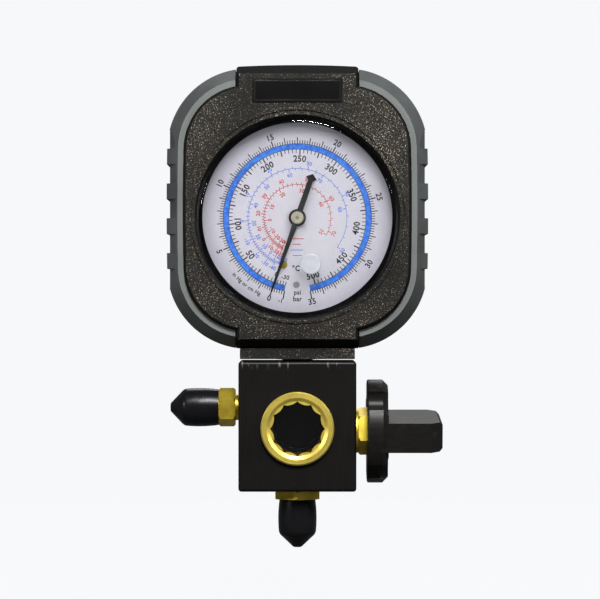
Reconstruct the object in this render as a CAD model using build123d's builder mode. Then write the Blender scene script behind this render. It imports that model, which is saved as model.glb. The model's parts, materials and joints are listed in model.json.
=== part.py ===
from build123d import *
import math
import os

# A refrigerant manifold gauge with one valve, one gauge and two hose ports, in millimetres.
# +X points to the valve knob, +Z points up, and the dial faces -Y.
# The origin is on the housing's flat back, straight behind the pointer's axis.
# A depth is a distance forward (-Y) from that back.

# Clearances
thread_clearance = 0.05      # radial, between a screwed shank and its bore
running_clearance = 0.05     # radial, round a shaft that turns
seat_clearance = 0.05        # between a piece and the recess it is bedded in
soft_clearance = 0.3         # between a soft or loose piece and a part that moves past it

# Housing
housing_depth = 39.5
split_depth = 19.0           # where the rear shell meets the front shell
shell_wall = 2.5
side_margin = 10.6           # from the gauge case out to the bumpers' face
top_margin = 18.5
bottom_margin = 11.5
outer_corner_radius = 31.0
side_bulge = 1.0             # how far the long sides bow outwards
end_bulge = 4.9              # how far the top and bottom edges bow outwards
bumper_thickness = 6.5
body_edge_round = 1.2
face_edge_round = 1.5        # round the front face, beside the bumpers
window_edge_round = 1.0
tab_half_width = 23.2        # the bare stretch between the bumpers' ends
tab_rise = 0.3               # above the bumpers' outline at its highest
tab_foot_inset = 1.1         # from the outline's lowest up to the tab's edge
tab_arch = 0.7
tab_corner_radius = 1.2
tab_slope_height = 3.6       # sloping strip along the front of the tab's edge
tab_slope_depth = 5.0
collar_wall = 1.0            # ring behind the window that centres the gauge
collar_length = 7.0
back_rib_radius = 22.0       # ring on the rear shell that the gauge leans on
back_rib_wall = 1.6

# Foot of the housing, over the manifold block
foot_half_width = 21.9
foot_height = 4.1
foot_gap = 0.9               # left open above the block

# Housing screws
screw_side_inset = 11.0      # from the shell's side
screw_top_inset = 22.9       # from the bumpers' top
screw_bottom_inset = 22.2
screw_shank_radius = 1.4
screw_head_radius = 2.6
screw_head_height = 2.0
screw_length = 17.0
screw_sink = 4.0             # from the back face to the top of the head
boss_radius = 3.6
cross_slot_width = 0.8
cross_slot_depth = 1.0
screw_head_chamfer = 0.5

# Rubber bumpers
bumper_back_depth = 2.6
bumper_set_back = 1.9        # behind the housing's face
bumper_end_gap = 0.4
bumper_slope_width = 4.4     # sloping outer part of the front edge
bumper_slope_depth = 5.5
bumper_back_chamfer = 1.5
grip_count = 5
grip_pitch = 13.3
grip_height = 7.3
grip_recess = 1.3
grip_slope_margin = 0.5      # of the slope's width, left whole beside the front edge
grip_centre_z = 3.5

# Badge
badge_width = 34.2
badge_height = 9.1
badge_thickness = 1.7
badge_recess = 1.0
badge_drop = 10.1            # from the top of the bare stretch to the badge's centre
badge_corner_radius = 0.8
badge_edge_chamfer = 0.5

# Gauge case, lens and dial
window_overlap = 1.1         # of the window's lip over the case
window_groove_margin = 2.3   # from the window out to the groove
window_groove_width = 0.6
window_groove_depth = 0.5
lip_thickness = 2.4
case_radius = 39.4
case_wall = 1.0
case_back_depth = 8.0
lens_rim_gap = 0.9           # from the lens to the case's wall
lens_thickness = 2.6
lens_edge_round = 1.1
lens_stand_off = 1.6         # how far the lens reaches into the window
gasket_thickness = 0.8
gasket_width = 1.3
ledge_width = 1.8
ledge_height = 1.6
plug_x = 5.05
plug_z = -17.8
plug_head_radius = 3.9
plug_head_thickness = 0.9
plug_shank_radius = 2.9
plug_flare = 0.35
plug_wall = 0.8
dial_rim_gap = 1.0           # from the dial's edge to the lens's
dial_set_back = 4.5          # from the lens to the dial's face
dial_thickness = 0.6

# Pointer
pointer_rest_angle = 19.44   # clockwise from straight down, where the dial reads zero
pointer_length = 30.3
pointer_tail = 17.7
pointer_gap = 1.2            # from the dial to the pointer
pointer_thickness = 0.5
pointer_root_width = 2.2
pointer_tip_width = 0.7
pointer_tail_width = 2.0
pointer_arrow_width = 4.3
pointer_arrow_length = 2.8   # from the tail's end to where the arrow meets the bar
pointer_barb_length = 1.6    # from the tail's end to the arrow's barbs
pointer_hub_radius = 3.3
pointer_cap_radius = 2.4
pointer_cap_thickness = 0.9

# Gauge movement
movement_set_back = 0.8      # from the dial to the front plate
plate_thickness = 1.0
plate_gap = 4.2              # between the two movement plates
plate_corner_radius = 2.5
plate_corners = [(-10, 6), (7.5, 6), (18.5, -3), (18.5, -20.5), (-10.5, -22.5)]
pillar_points = [(-7, 2.5), (-7.8, -19.6), (15.2, -4.8)]
gear_module = 0.4
pinion_teeth = 8
sector_full_teeth = 80
sector_rising_teeth = 9      # teeth that pass the pinion as the pressure rises
sector_falling_teeth = 2
sector_hub_radius = 2.4
tooth_fill = 0.38            # share of the pitch that a tooth takes at the pitch circle
tooth_addendum = 0.8         # in modules
tooth_dedendum = 1.15        # in modules
tooth_tip_share = 0.55       # half thickness at the tip, as a share of that at the pitch circle
tooth_root_share = 1.3
pinion_length = 2.4
sector_thickness = 1.0
sector_plate_share = 0.62    # of the way from the rear plate to the front one
arbor_radius = 0.7
sector_direction = -55.0     # from the pointer's axis to the sector's, in degrees
sector_tail_direction = 2.0
sector_tail_length = 6.0
link_thickness = 0.6
link_width = 2.6
link_pin_radius = 0.6
pillar_radius = 1.6
post_radius = 2.0
dial_screw_x = -0.4
dial_screw_z = -25.6
dial_screw_radius = 1.25
dial_screw_head = 0.5
small_screw_shank_radius = 0.7
small_screw_length = 3.0     # below the front of the dial
slot_width = 0.5
slot_depth = 0.3
zero_screw_x = -5.3
zero_screw_z = -17.9
zero_screw_radius = 1.5
zero_screw_head = 0.6
zero_screw_shank_radius = 0.8
zero_slot_turn = 35.0
zero_screw_chamfer = 0.15
movement_screw_x = 3.8
movement_screw_z = -31.5
movement_screw_radius = 0.9
movement_screw_head_radius = 1.7
movement_screw_head = 0.9
movement_screw_length = 4.5
hairspring_turns = 4
hairspring_inner_radius = 1.6
hairspring_pitch = 0.8
hairspring_width = 0.5
hairspring_wall = 0.16
hairspring_stud_radius = 0.6

# Bourdon tube and socket
tube_radius = 29.0
tube_wall_height = 3.0       # across the flattened section
tube_depth = 7.0             # along the pointer's axis
tube_wall = 0.35
tube_start_direction = -97.0 # inside the socket's head, in degrees
tube_end_direction = -18.0
tube_end_margin = 0.6
tube_end_length = 4.5
tube_lug_radius = 2.2
head_half_width = 7.0
head_top = -21.0
head_bottom = -35.5
head_depth = 8.0
stem_radius = 6.2
stem_thread_radius = 4.8
stem_shoulder_rise = 3.1     # above the block
stem_thread_depth = 10.0     # into the block
stem_bore_radius = 1.6
nut_flats = 17.0
seal_radius = 5.9
seal_thickness = 0.6

# Manifold block
port_depth = 21.0            # plane of the ports, the valve and the gauge stem
block_width = 45.0
block_height = 49.7
block_depth = 30.0
block_edge_round = 1.2
passage_radius = 2.2
mark_radius = 0.5
mark_depth = 0.3
mark_x = -1.0
mark_height = 1.3            # above the block's lower edge

# Sight glass
sight_z = -80.4
sight_flange_radius = 14.0
sight_flange_thickness = 2.0
sight_thread_radius = 12.0
sight_ring_length = 6.5      # behind the flange
sight_ring_chamfer = 0.5
wrench_points = 12
wrench_cusp_radius = 10.5
wrench_lobe_radius = 9.4
wrench_depth = 3.0
bevel_radius = 11.8
bevel_depth = 0.8
sight_lip_radius = 9.2
glass_radius = 10.6
glass_thickness = 3.0
glass_seal_width = 1.6
glass_seal_thickness = 1.6
cavity_radius = 8.3
cavity_floor_depth = 15.5
dimple_radius = 0.8
dimple_depth = 0.5
glass_chamfer = 0.3

# Hose ports: 7/16-20 flare threads
flare_thread_radius = 5.55
flare_thread_length = 11.4
flare_thread_pitch = 1.27
flare_thread_cut = 0.55
flare_cone = 1.6
flare_bore_radius = 2.4
shank_radius = 5.0
shank_length = 9.0
hex_corner_cut = 0.7
left_port_z = -72.8
left_neck_length = 1.4
left_hex_flats = 13.0
left_hex_length = 6.4
left_hex_turn = 24.7
bottom_neck_length = 0.0
bottom_hex_flats = 17.0
bottom_hex_length = 3.6
bottom_hex_turn = 30.0
cap_radius = 7.4
cap_mouth_radius = 6.9
cap_length = 18.6
cap_bore_depth = 11.9
cap_belly = 8.8              # from the mouth to where the cap is widest
cap_shoulder = 13.3          # from the mouth to where the cone starts
cap_shoulder_drop = 0.3
cap_shoulder_round = 3.0
cap_tip_radius = 1.5
cap_tip_round = 1.0
cap_gap = 0.1                # between the cap's mouth and the hexagon

# Valve
valve_z = -82.0
bonnet_thread_radius = 7.0
bonnet_thread_length = 12.0
bonnet_bore_extra = 2.0      # block bore past the bonnet's inner end
washer_radius = 8.4
washer_thickness = 1.0
washer_chamfer = 0.25
bonnet_flats = 16.0
bonnet_hex_length = 4.1
bonnet_hex_turn = 21.1
chamber_radius = 4.3
chamber_length = 7.0
stem_shaft_radius = 3.0
stem_collar_radius = 4.0
stem_collar_length = 3.0
stem_square = 4.2
stem_square_length = 11.0
disc_radius = 3.4
disc_thickness = 2.5
disc_chamfer = 0.25
ring_wire_radius = 0.6
ring_spacing = 2.6
ring_first = 3.6             # from the block's side inwards to the outer ring

# Knob
knob_turn = 5.9              # how far the grip leans from the Y axis at rest
knob_start = 4.3             # from the block's side to the knob's inner face
knob_radius = 19.9
knob_base_thickness = 8.0
knob_rim_chamfer = 2.1
knob_back_round = 0.6
scallop_centre_radius = 20.6
scallop_radius = 4.6
grip_length = 37.0
grip_thickness = 11.3
grip_rise = 20.6             # beyond the base disc
grip_end_chamfer = 4.5
grip_side_chamfer = 1.2
knob_recess_radius = 10.0
knob_recess_depth = 2.6
knob_screw_radius = 1.5
knob_screw_head_radius = 2.9
knob_screw_head = 2.0
knob_screw_sink = 1.0
knob_screw_grip = 5.0        # engaged in the stem

# Sizes that follow from the ones above
window_radius = case_radius - window_overlap
window_groove_radius = window_radius + window_groove_margin
lens_radius = case_radius - case_wall - lens_rim_gap
dial_radius = lens_radius - dial_rim_gap
outer_half_width = case_radius + side_margin
outer_top = case_radius + top_margin
outer_bottom = -case_radius - bottom_margin
tab_top = outer_top + tab_rise
tab_bottom = outer_bottom + tab_foot_inset
badge_centre_z = tab_top - badge_drop
bumper_front_depth = housing_depth - bumper_set_back
block_top = tab_bottom - foot_height - foot_gap
block_bottom = block_top - block_height
stem_shoulder_z = block_top + stem_shoulder_rise
block_front_depth = port_depth + block_depth / 2
block_back_depth = port_depth - block_depth / 2
block_side = block_width / 2
foot_bottom = tab_bottom - foot_height
case_front_depth = housing_depth - lip_thickness
body_half_width = outer_half_width - bumper_thickness
screw_x = body_half_width - screw_side_inset
screw_high_z = outer_top - screw_top_inset
screw_low_z = outer_bottom + screw_bottom_inset
body_corner_radius = outer_corner_radius - bumper_thickness
lens_back_depth = case_front_depth + lens_stand_off - lens_thickness
dial_depth = lens_back_depth - dial_set_back
dial_back_depth = dial_depth - dial_thickness
plate_front_depth = dial_back_depth - movement_set_back
movement_back_depth = plate_front_depth - 2 * plate_thickness - plate_gap
plate_front_reach = dial_back_depth - plate_front_depth + plate_thickness
pointer_depth = dial_depth + pointer_gap
pinion_radius = gear_module * pinion_teeth / 2
sector_radius = gear_module * sector_full_teeth / 2
gear_distance = pinion_radius + sector_radius
sector_x = gear_distance * math.cos(math.radians(sector_direction))
sector_z = gear_distance * math.sin(math.radians(sector_direction))
gear_depth = movement_back_depth + plate_thickness + sector_plate_share * plate_gap
link_depth = movement_back_depth + plate_thickness + soft_clearance + link_thickness
nut_pocket_radius = nut_flats / math.sqrt(3) + soft_clearance
nut_pocket_height = stem_shoulder_z - foot_bottom + soft_clearance
case_bottom_reach = -case_radius - foot_bottom
screw_hole_depth = screw_sink + screw_head_height + screw_length + soft_clearance - split_depth
tail_x = sector_x + sector_tail_length * math.cos(math.radians(sector_tail_direction))
tail_z = sector_z + sector_tail_length * math.sin(math.radians(sector_tail_direction))
sector_pitch_angle = 360 / sector_full_teeth
tube_centre_depth = movement_back_depth - head_depth / 2
tube_arc = 360 + tube_start_direction - tube_end_direction
hairspring_depth = movement_back_depth + plate_thickness + soft_clearance + hairspring_width / 2
hairspring_end_radius = hairspring_inner_radius + hairspring_turns * hairspring_pitch
sight_bore_depth = sight_ring_length + glass_seal_thickness
ring_front_depth = block_front_depth + sight_flange_thickness
sight_axis = Axis((0, -block_front_depth, sight_z), (0, -1, 0))
valve_bore_length = bonnet_thread_length + bonnet_bore_extra
disc_start = seat_clearance - valve_bore_length
stem_start = disc_start + disc_thickness + seat_clearance
square_start = knob_start + knob_recess_depth - seat_clearance
ring_centres = [-ring_first, -ring_first - ring_spacing]
ring_radius = stem_shaft_radius - ring_wire_radius
stem_end = square_start + stem_square_length
screw_head_reach = knob_base_thickness + grip_rise - knob_screw_sink
knob_screw_length = knob_start + screw_head_reach - knob_screw_head - stem_end + knob_screw_grip
zero_screw_front_depth = dial_depth + seat_clearance + zero_screw_head


# A plane square to the tube at an angle round the pointer's axis, facing clockwise as the dial is seen.
def tube_plane(direction):
    outward_x = math.cos(math.radians(direction))
    outward_z = math.sin(math.radians(direction))
    return Plane(
        origin=(tube_radius * outward_x, -tube_centre_depth, tube_radius * outward_z),
        x_dir=(outward_x, 0, outward_z),
        z_dir=(outward_z, 0, -outward_x),
    )


tube_start_plane = tube_plane(tube_start_direction)
tube_end_plane = tube_plane(tube_end_direction)
lug_centre = tube_end_plane.offset(tube_end_length / 2).origin
lug_x = lug_centre.X
lug_z = lug_centre.Z
link_length = math.dist((tail_x, tail_z), (lug_x, lug_z))
link_angle = math.degrees(math.atan2(lug_z - tail_z, lug_x - tail_x))

os.makedirs("parts", exist_ok=True)


# A plane facing forward, at a depth from the back; its own axes are +X and +Z.
def front_plane(depth):
    return Plane.XZ.offset(depth)


# A plane facing forward with its origin at a point of the dial.
def front_plane_at(x, z, depth):
    return Plane(origin=(x, -depth, z), x_dir=(1, 0, 0), z_dir=(0, -1, 0))


# A point at a radius and an angle in degrees, in a sketch's own axes.
def round_point(radius, angle):
    return (radius * math.cos(math.radians(angle)), radius * math.sin(math.radians(angle)))


# A plane square to a port: its origin is on the block's face and it faces the way the hose leaves.
left_port_plane = Plane(origin=(-block_side, -port_depth, left_port_z), x_dir=(0, 1, 0), z_dir=(-1, 0, 0))
bottom_port_plane = Plane(origin=(0, -port_depth, block_bottom), x_dir=(1, 0, 0), z_dir=(0, 0, -1))
valve_plane = Plane(origin=(block_side, -port_depth, valve_z), x_dir=(0, -1, 0), z_dir=(1, 0, 0))
stem_plane = Plane(origin=(0, -port_depth, block_top), x_dir=(1, 0, 0), z_dir=(0, 0, 1))
sight_plane = front_plane_at(0, sight_z, block_front_depth)
knob_plane = Plane(
    origin=(block_side + knob_start, -port_depth, valve_z),
    x_dir=(0, -math.cos(math.radians(knob_turn)), -math.sin(math.radians(knob_turn))),
    z_dir=(1, 0, 0),
)
screw_head_plane = knob_plane.offset(screw_head_reach)


# A rounded four-sided outline whose sides all bow outwards a little, drawn in X and Z.
def bowed_outline(half_width, top, bottom, radius):
    middle = (top + bottom) / 2
    with BuildSketch() as outline:
        with BuildLine():
            lower_left = (side_bulge - half_width, bottom + end_bulge)
            lower_right = (half_width - side_bulge, bottom + end_bulge)
            upper_right = (half_width - side_bulge, top - end_bulge)
            upper_left = (side_bulge - half_width, top - end_bulge)
            ThreePointArc(lower_left, (0, bottom), lower_right)
            ThreePointArc(lower_right, (half_width, middle), upper_right)
            ThreePointArc(upper_right, (0, top), upper_left)
            ThreePointArc(upper_left, (-half_width, middle), lower_left)
        make_face()
        fillet(outline.vertices(), radius)
    return outline.sketch


outer_outline = bowed_outline(outer_half_width, outer_top, outer_bottom, outer_corner_radius)
body_outline = bowed_outline(
    body_half_width,
    outer_top - bumper_thickness,
    outer_bottom + bumper_thickness,
    body_corner_radius,
)
bore_outline = bowed_outline(
    body_half_width + seat_clearance,
    outer_top - bumper_thickness + seat_clearance,
    outer_bottom + bumper_thickness - seat_clearance,
    body_corner_radius + seat_clearance,
)
hollow_outline = bowed_outline(
    body_half_width - shell_wall,
    outer_top - bumper_thickness - shell_wall,
    outer_bottom + bumper_thickness + shell_wall,
    body_corner_radius - shell_wall,
)

# The bare stretch at the top and bottom of the housing, between the bumpers
with BuildSketch() as tab_outline:
    with BuildLine():
        tab_foot_left = (-tab_half_width, tab_bottom)
        tab_foot_right = (tab_half_width, tab_bottom)
        tab_head_right = (tab_half_width, tab_top - tab_arch)
        tab_head_left = (-tab_half_width, tab_top - tab_arch)
        Line(tab_foot_left, tab_foot_right)
        Line(tab_foot_right, tab_head_right)
        ThreePointArc(tab_head_right, (0, tab_top), tab_head_left)
        Line(tab_head_left, tab_foot_left)
    make_face()
    fillet(tab_outline.vertices().group_by(Axis.Y)[-1], radius=tab_corner_radius)

# The housing's whole outline, without the bumpers
with BuildSketch() as shell_outline:
    add(body_outline)
    add(tab_outline.sketch)

screw_points = [
    (-screw_x, screw_high_z),
    (screw_x, screw_high_z),
    (-screw_x, screw_low_z),
    (screw_x, screw_low_z),
]


# The wedges that the sloping strips along the tab's front edges leave open, drawn in Y and Z
with BuildSketch(Plane.YZ) as slope_wedges:
    for edge_z, outward in ((tab_top, 1), (tab_bottom, -1)):
        with BuildLine():
            Polyline(
                (-housing_depth, edge_z - outward * tab_slope_height),
                (-housing_depth + tab_slope_depth, edge_z),
                (-housing_depth + tab_slope_depth, edge_z + outward * tab_slope_height),
                (-housing_depth, edge_z + outward * tab_slope_height),
                close=True,
            )
        make_face()

# Front shell: face with the round window, side walls, collar for the gauge and screw bosses
with BuildPart() as front_housing:
    with BuildSketch(front_plane(split_depth)):
        add(shell_outline.sketch)
    extrude(amount=housing_depth - split_depth)
    fillet(front_housing.edges().group_by(Axis.Y)[0], radius=face_edge_round)
    with BuildSketch(front_plane(split_depth)):
        add(hollow_outline)
    extrude(amount=housing_depth - split_depth - lip_thickness, mode=Mode.SUBTRACT)
    with BuildSketch(front_plane(case_front_depth - collar_length)):
        Circle(case_radius + seat_clearance + collar_wall)
    extrude(amount=collar_length)
    with BuildSketch(front_plane(split_depth)):
        with Locations(*screw_points):
            Circle(boss_radius)
    extrude(amount=case_front_depth - split_depth)
    with BuildSketch(front_plane(split_depth)):
        Circle(case_radius + seat_clearance)
    extrude(amount=case_front_depth - split_depth, mode=Mode.SUBTRACT)
    with BuildSketch(front_plane(case_front_depth)):
        Circle(window_radius)
    extrude(amount=lip_thickness, mode=Mode.SUBTRACT)
    fillet(front_housing.edges().filter_by(GeomType.CIRCLE).group_by(Axis.Y)[0], radius=window_edge_round)
    with BuildSketch(front_plane(housing_depth - window_groove_depth)):
        Circle(window_groove_radius + window_groove_width / 2)
        Circle(window_groove_radius - window_groove_width / 2, mode=Mode.SUBTRACT)
    extrude(amount=window_groove_depth, mode=Mode.SUBTRACT)
    with BuildSketch(front_plane(housing_depth - badge_recess)):
        with Locations((0, badge_centre_z)):
            RectangleRounded(
                badge_width + 2 * seat_clearance,
                badge_height + 2 * seat_clearance,
                badge_corner_radius + seat_clearance,
            )
    extrude(amount=badge_recess, mode=Mode.SUBTRACT)
    extrude(slope_wedges.sketch, amount=outer_half_width, both=True, mode=Mode.SUBTRACT)
    with BuildSketch(front_plane(split_depth)):
        with Locations((0, tab_bottom - foot_height / 2)):
            Rectangle(2 * foot_half_width, foot_height)
    extrude(amount=block_front_depth - split_depth)
    with BuildSketch(stem_plane.offset(foot_gap)):
        Circle(nut_pocket_radius)
    extrude(amount=nut_pocket_height, mode=Mode.SUBTRACT)
    with BuildSketch(stem_plane.offset(foot_gap)):
        Circle(stem_radius + soft_clearance)
    extrude(amount=case_bottom_reach, mode=Mode.SUBTRACT)
    with BuildSketch(front_plane(split_depth)):
        with Locations(*screw_points):
            Circle(screw_shank_radius + thread_clearance)
    extrude(amount=screw_hole_depth, mode=Mode.SUBTRACT)
front_housing.part.label = "front_housing"

# Rear shell: flat back, side walls, screw tubes and the ring that the gauge leans on
with BuildPart() as rear_housing:
    with BuildSketch(front_plane(0)):
        add(shell_outline.sketch)
    extrude(amount=split_depth)
    chamfer(rear_housing.edges().group_by(Axis.Y)[-1], length=body_edge_round)
    with BuildSketch(front_plane(shell_wall)):
        add(hollow_outline)
    extrude(amount=split_depth - shell_wall, mode=Mode.SUBTRACT)
    with BuildSketch(front_plane(shell_wall)):
        with Locations(*screw_points):
            Circle(boss_radius)
    extrude(amount=split_depth - shell_wall)
    with BuildSketch(front_plane(shell_wall)):
        Circle(back_rib_radius)
        Circle(back_rib_radius - back_rib_wall, mode=Mode.SUBTRACT)
    extrude(amount=case_back_depth - shell_wall)
    with BuildSketch(front_plane(case_back_depth)):
        Circle(case_radius + seat_clearance)
    extrude(amount=split_depth - case_back_depth, mode=Mode.SUBTRACT)
    with BuildSketch(front_plane(block_back_depth)):
        with Locations((0, tab_bottom - foot_height / 2)):
            Rectangle(2 * foot_half_width, foot_height)
    extrude(amount=split_depth - block_back_depth)
    with BuildSketch(stem_plane.offset(foot_gap)):
        Circle(nut_pocket_radius)
    extrude(amount=nut_pocket_height, mode=Mode.SUBTRACT)
    with BuildSketch(stem_plane.offset(foot_gap)):
        Circle(stem_radius + soft_clearance)
    extrude(amount=case_bottom_reach, mode=Mode.SUBTRACT)
    with BuildSketch(front_plane(0)):
        with Locations(*screw_points):
            Circle(screw_shank_radius + soft_clearance)
    extrude(amount=split_depth, mode=Mode.SUBTRACT)
    with BuildSketch(front_plane(0)):
        with Locations(*screw_points):
            Circle(screw_head_radius + soft_clearance)
    extrude(amount=screw_sink + screw_head_height, mode=Mode.SUBTRACT)
rear_housing.part.label = "rear_housing"

# Four pan-head screws, driven from the back
with BuildPart() as housing_screws:
    with BuildSketch(front_plane(screw_sink)):
        with Locations(*screw_points):
            Circle(screw_head_radius)
    extrude(amount=screw_head_height)
    chamfer(housing_screws.edges().group_by(Axis.Y)[-1], length=screw_head_chamfer)
    with BuildSketch(front_plane(screw_sink)):
        with Locations(*screw_points):
            Rectangle(screw_head_radius, cross_slot_width)
            Rectangle(cross_slot_width, screw_head_radius)
    extrude(amount=cross_slot_depth, mode=Mode.SUBTRACT)
    with BuildSketch(front_plane(screw_sink + screw_head_height)):
        with Locations(*screw_points):
            Circle(screw_shank_radius)
    extrude(amount=screw_length)
housing_screws.part.label = "housing_screws"

grip_start_depth = bumper_front_depth - grip_slope_margin * bumper_slope_depth / bumper_slope_width

# What a grip recess takes from the strip on each side, drawn in X and Y
with BuildSketch() as grip_wedges:
    with BuildLine():
        Polyline(
            (outer_half_width - bumper_slope_width + grip_slope_margin, -grip_start_depth),
            (outer_half_width - grip_recess, bumper_slope_depth - bumper_front_depth),
            (outer_half_width - grip_recess, 0),
            (outer_half_width + grip_recess, 0),
            (outer_half_width + grip_recess, -grip_start_depth),
            close=True,
        )
    make_face()
    mirror(about=Plane.YZ)
grip_lowest = grip_centre_z - (grip_count - 1) * grip_pitch / 2 - grip_height / 2
grip_heights = [grip_lowest + step * grip_pitch for step in range(grip_count)]

# Rubber bumpers: one strip on each side, with grip recesses across the outer face
with BuildPart() as bumper_pair:
    with BuildSketch(front_plane(bumper_back_depth)):
        add(outer_outline)
    extrude(amount=bumper_front_depth - bumper_back_depth)
    chamfer(bumper_pair.edges().group_by(Axis.Y)[-1], length=bumper_back_chamfer)
    chamfer(
        bumper_pair.edges().group_by(Axis.Y)[0],
        length=bumper_slope_width,
        length2=bumper_slope_depth,
        reference=bumper_pair.faces().sort_by(Axis.Y)[0],
    )
    with BuildSketch(front_plane(0)):
        add(bore_outline)
        Rectangle(2 * (tab_half_width + bumper_end_gap), 2 * outer_top + abs(outer_bottom))
    extrude(amount=housing_depth, mode=Mode.SUBTRACT)
    for grip_z in grip_heights:
        with BuildSketch(Plane.XY.offset(grip_z)):
            add(grip_wedges.sketch)
        extrude(amount=grip_height, mode=Mode.SUBTRACT)

with BuildPart() as left_bumper:
    add(bumper_pair.part)
    split(bisect_by=Plane.YZ, keep=Keep.BOTTOM)
left_bumper.part.label = "left_bumper"

with BuildPart() as right_bumper:
    add(bumper_pair.part)
    split(bisect_by=Plane.YZ, keep=Keep.TOP)
right_bumper.part.label = "right_bumper"

# Glossy plate let into the top of the face
with BuildPart() as badge_plate:
    with BuildSketch(front_plane(housing_depth - badge_recess)):
        with Locations((0, badge_centre_z)):
            RectangleRounded(badge_width, badge_height, badge_corner_radius)
    extrude(amount=badge_thickness)
    chamfer(badge_plate.edges().group_by(Axis.Y)[0], length=badge_edge_chamfer)
badge_plate.part.label = "badge_plate"

# Gauge case: a cup with an inner ledge for the lens gasket and a hole for the stem
with BuildPart() as gauge_case:
    with BuildSketch(front_plane(case_back_depth)):
        Circle(case_radius)
    extrude(amount=case_front_depth - case_back_depth)
    fillet(gauge_case.edges().group_by(Axis.Y)[-1], radius=case_wall)
    with BuildSketch(front_plane(case_back_depth + case_wall)):
        Circle(case_radius - case_wall)
    extrude(amount=case_front_depth - case_back_depth - case_wall, mode=Mode.SUBTRACT)
    with BuildSketch(front_plane(lens_back_depth - gasket_thickness - ledge_height)):
        Circle(case_radius - case_wall / 2)
        Circle(case_radius - case_wall - ledge_width, mode=Mode.SUBTRACT)
    extrude(amount=ledge_height)
    with BuildSketch(stem_plane.offset(foot_gap)):
        Circle(stem_radius + seat_clearance)
    extrude(amount=case_bottom_reach + case_wall + ledge_width, mode=Mode.SUBTRACT)
gauge_case.part.label = "gauge_case"

# Soft ring between the case's ledge and the lens
with BuildPart() as lens_gasket:
    with BuildSketch(front_plane(lens_back_depth - gasket_thickness)):
        Circle(lens_radius)
        Circle(lens_radius - gasket_width, mode=Mode.SUBTRACT)
    extrude(amount=gasket_thickness)
lens_gasket.part.label = "lens_gasket"

# Clear lens with a rounded front edge and a hole for the plug
with BuildPart() as gauge_lens:
    with BuildSketch(front_plane(lens_back_depth)):
        Circle(lens_radius)
    extrude(amount=lens_thickness)
    fillet(gauge_lens.edges().group_by(Axis.Y)[0], radius=lens_edge_round)
    with BuildSketch(front_plane(lens_back_depth)):
        with Locations((plug_x, plug_z)):
            Circle(plug_shank_radius + running_clearance)
    extrude(amount=lens_thickness, mode=Mode.SUBTRACT)
gauge_lens.part.label = "gauge_lens"

# Soft plug that closes the hole over the dial
with BuildPart() as lens_plug:
    with BuildSketch(front_plane_at(plug_x, plug_z, lens_back_depth)):
        Circle(plug_shank_radius)
    extrude(amount=lens_thickness)
    with BuildSketch(front_plane_at(plug_x, plug_z, lens_back_depth + lens_thickness)):
        Circle(plug_head_radius)
    extrude(amount=plug_head_thickness)
    fillet(lens_plug.edges().group_by(Axis.Y)[0], radius=plug_flare)
    with BuildSketch(front_plane_at(plug_x, plug_z, lens_back_depth)):
        Circle(plug_shank_radius - plug_wall)
    extrude(amount=lens_thickness - plug_wall, mode=Mode.SUBTRACT)
lens_plug.part.label = "lens_plug"

# Dial plate, with holes for the pinion arbor, the zero screw and the dial screw
with BuildPart() as dial_plate:
    with BuildSketch(front_plane(dial_back_depth)):
        Circle(dial_radius)
        Circle(pinion_radius + running_clearance, mode=Mode.SUBTRACT)
        with Locations((zero_screw_x, zero_screw_z)):
            Circle(zero_screw_shank_radius + running_clearance, mode=Mode.SUBTRACT)
        with Locations((dial_screw_x, dial_screw_z)):
            Circle(small_screw_shank_radius + thread_clearance, mode=Mode.SUBTRACT)
    extrude(amount=dial_thickness)
dial_plate.part.label = "dial_plate"

# Post that carries the dial on the movement's rear plate
with BuildPart() as dial_post:
    with BuildSketch(front_plane_at(dial_screw_x, dial_screw_z, movement_back_depth + plate_thickness)):
        Circle(post_radius)
    extrude(amount=dial_back_depth - movement_back_depth - plate_thickness)
    with BuildSketch(front_plane_at(dial_screw_x, dial_screw_z, dial_back_depth)):
        Circle(small_screw_shank_radius + thread_clearance)
    extrude(amount=-small_screw_length, mode=Mode.SUBTRACT)
dial_post.part.label = "dial_post"

# Slotted screw that holds the dial on its post
with BuildPart() as dial_screw:
    with BuildSketch(front_plane_at(dial_screw_x, dial_screw_z, dial_depth)):
        Circle(dial_screw_radius)
    extrude(amount=dial_screw_head)
    with BuildSketch(front_plane_at(dial_screw_x, dial_screw_z, dial_depth + dial_screw_head)):
        Rectangle(2 * dial_screw_radius, slot_width)
    extrude(amount=-slot_depth, mode=Mode.SUBTRACT)
    with BuildSketch(front_plane_at(dial_screw_x, dial_screw_z, dial_depth)):
        Circle(small_screw_shank_radius)
    extrude(amount=-small_screw_length)
dial_screw.part.label = "dial_screw"

# Slotted brass screw that sets the zero; it turns in the movement's front plate
with BuildPart() as zero_screw:
    with BuildSketch(front_plane_at(zero_screw_x, zero_screw_z, dial_depth + seat_clearance)):
        Circle(zero_screw_radius)
    extrude(amount=zero_screw_head)
    chamfer(zero_screw.edges().group_by(Axis.Y)[0], length=zero_screw_chamfer)
    with BuildSketch(front_plane_at(zero_screw_x, zero_screw_z, zero_screw_front_depth)):
        Rectangle(2 * zero_screw_radius, slot_width, rotation=zero_slot_turn)
    extrude(amount=-slot_depth, mode=Mode.SUBTRACT)
    with BuildSketch(front_plane_at(zero_screw_x, zero_screw_z, dial_depth + seat_clearance)):
        Circle(zero_screw_shank_radius)
    extrude(amount=-(dial_thickness + seat_clearance + plate_front_reach))
zero_screw.part.label = "zero_screw"

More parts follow.
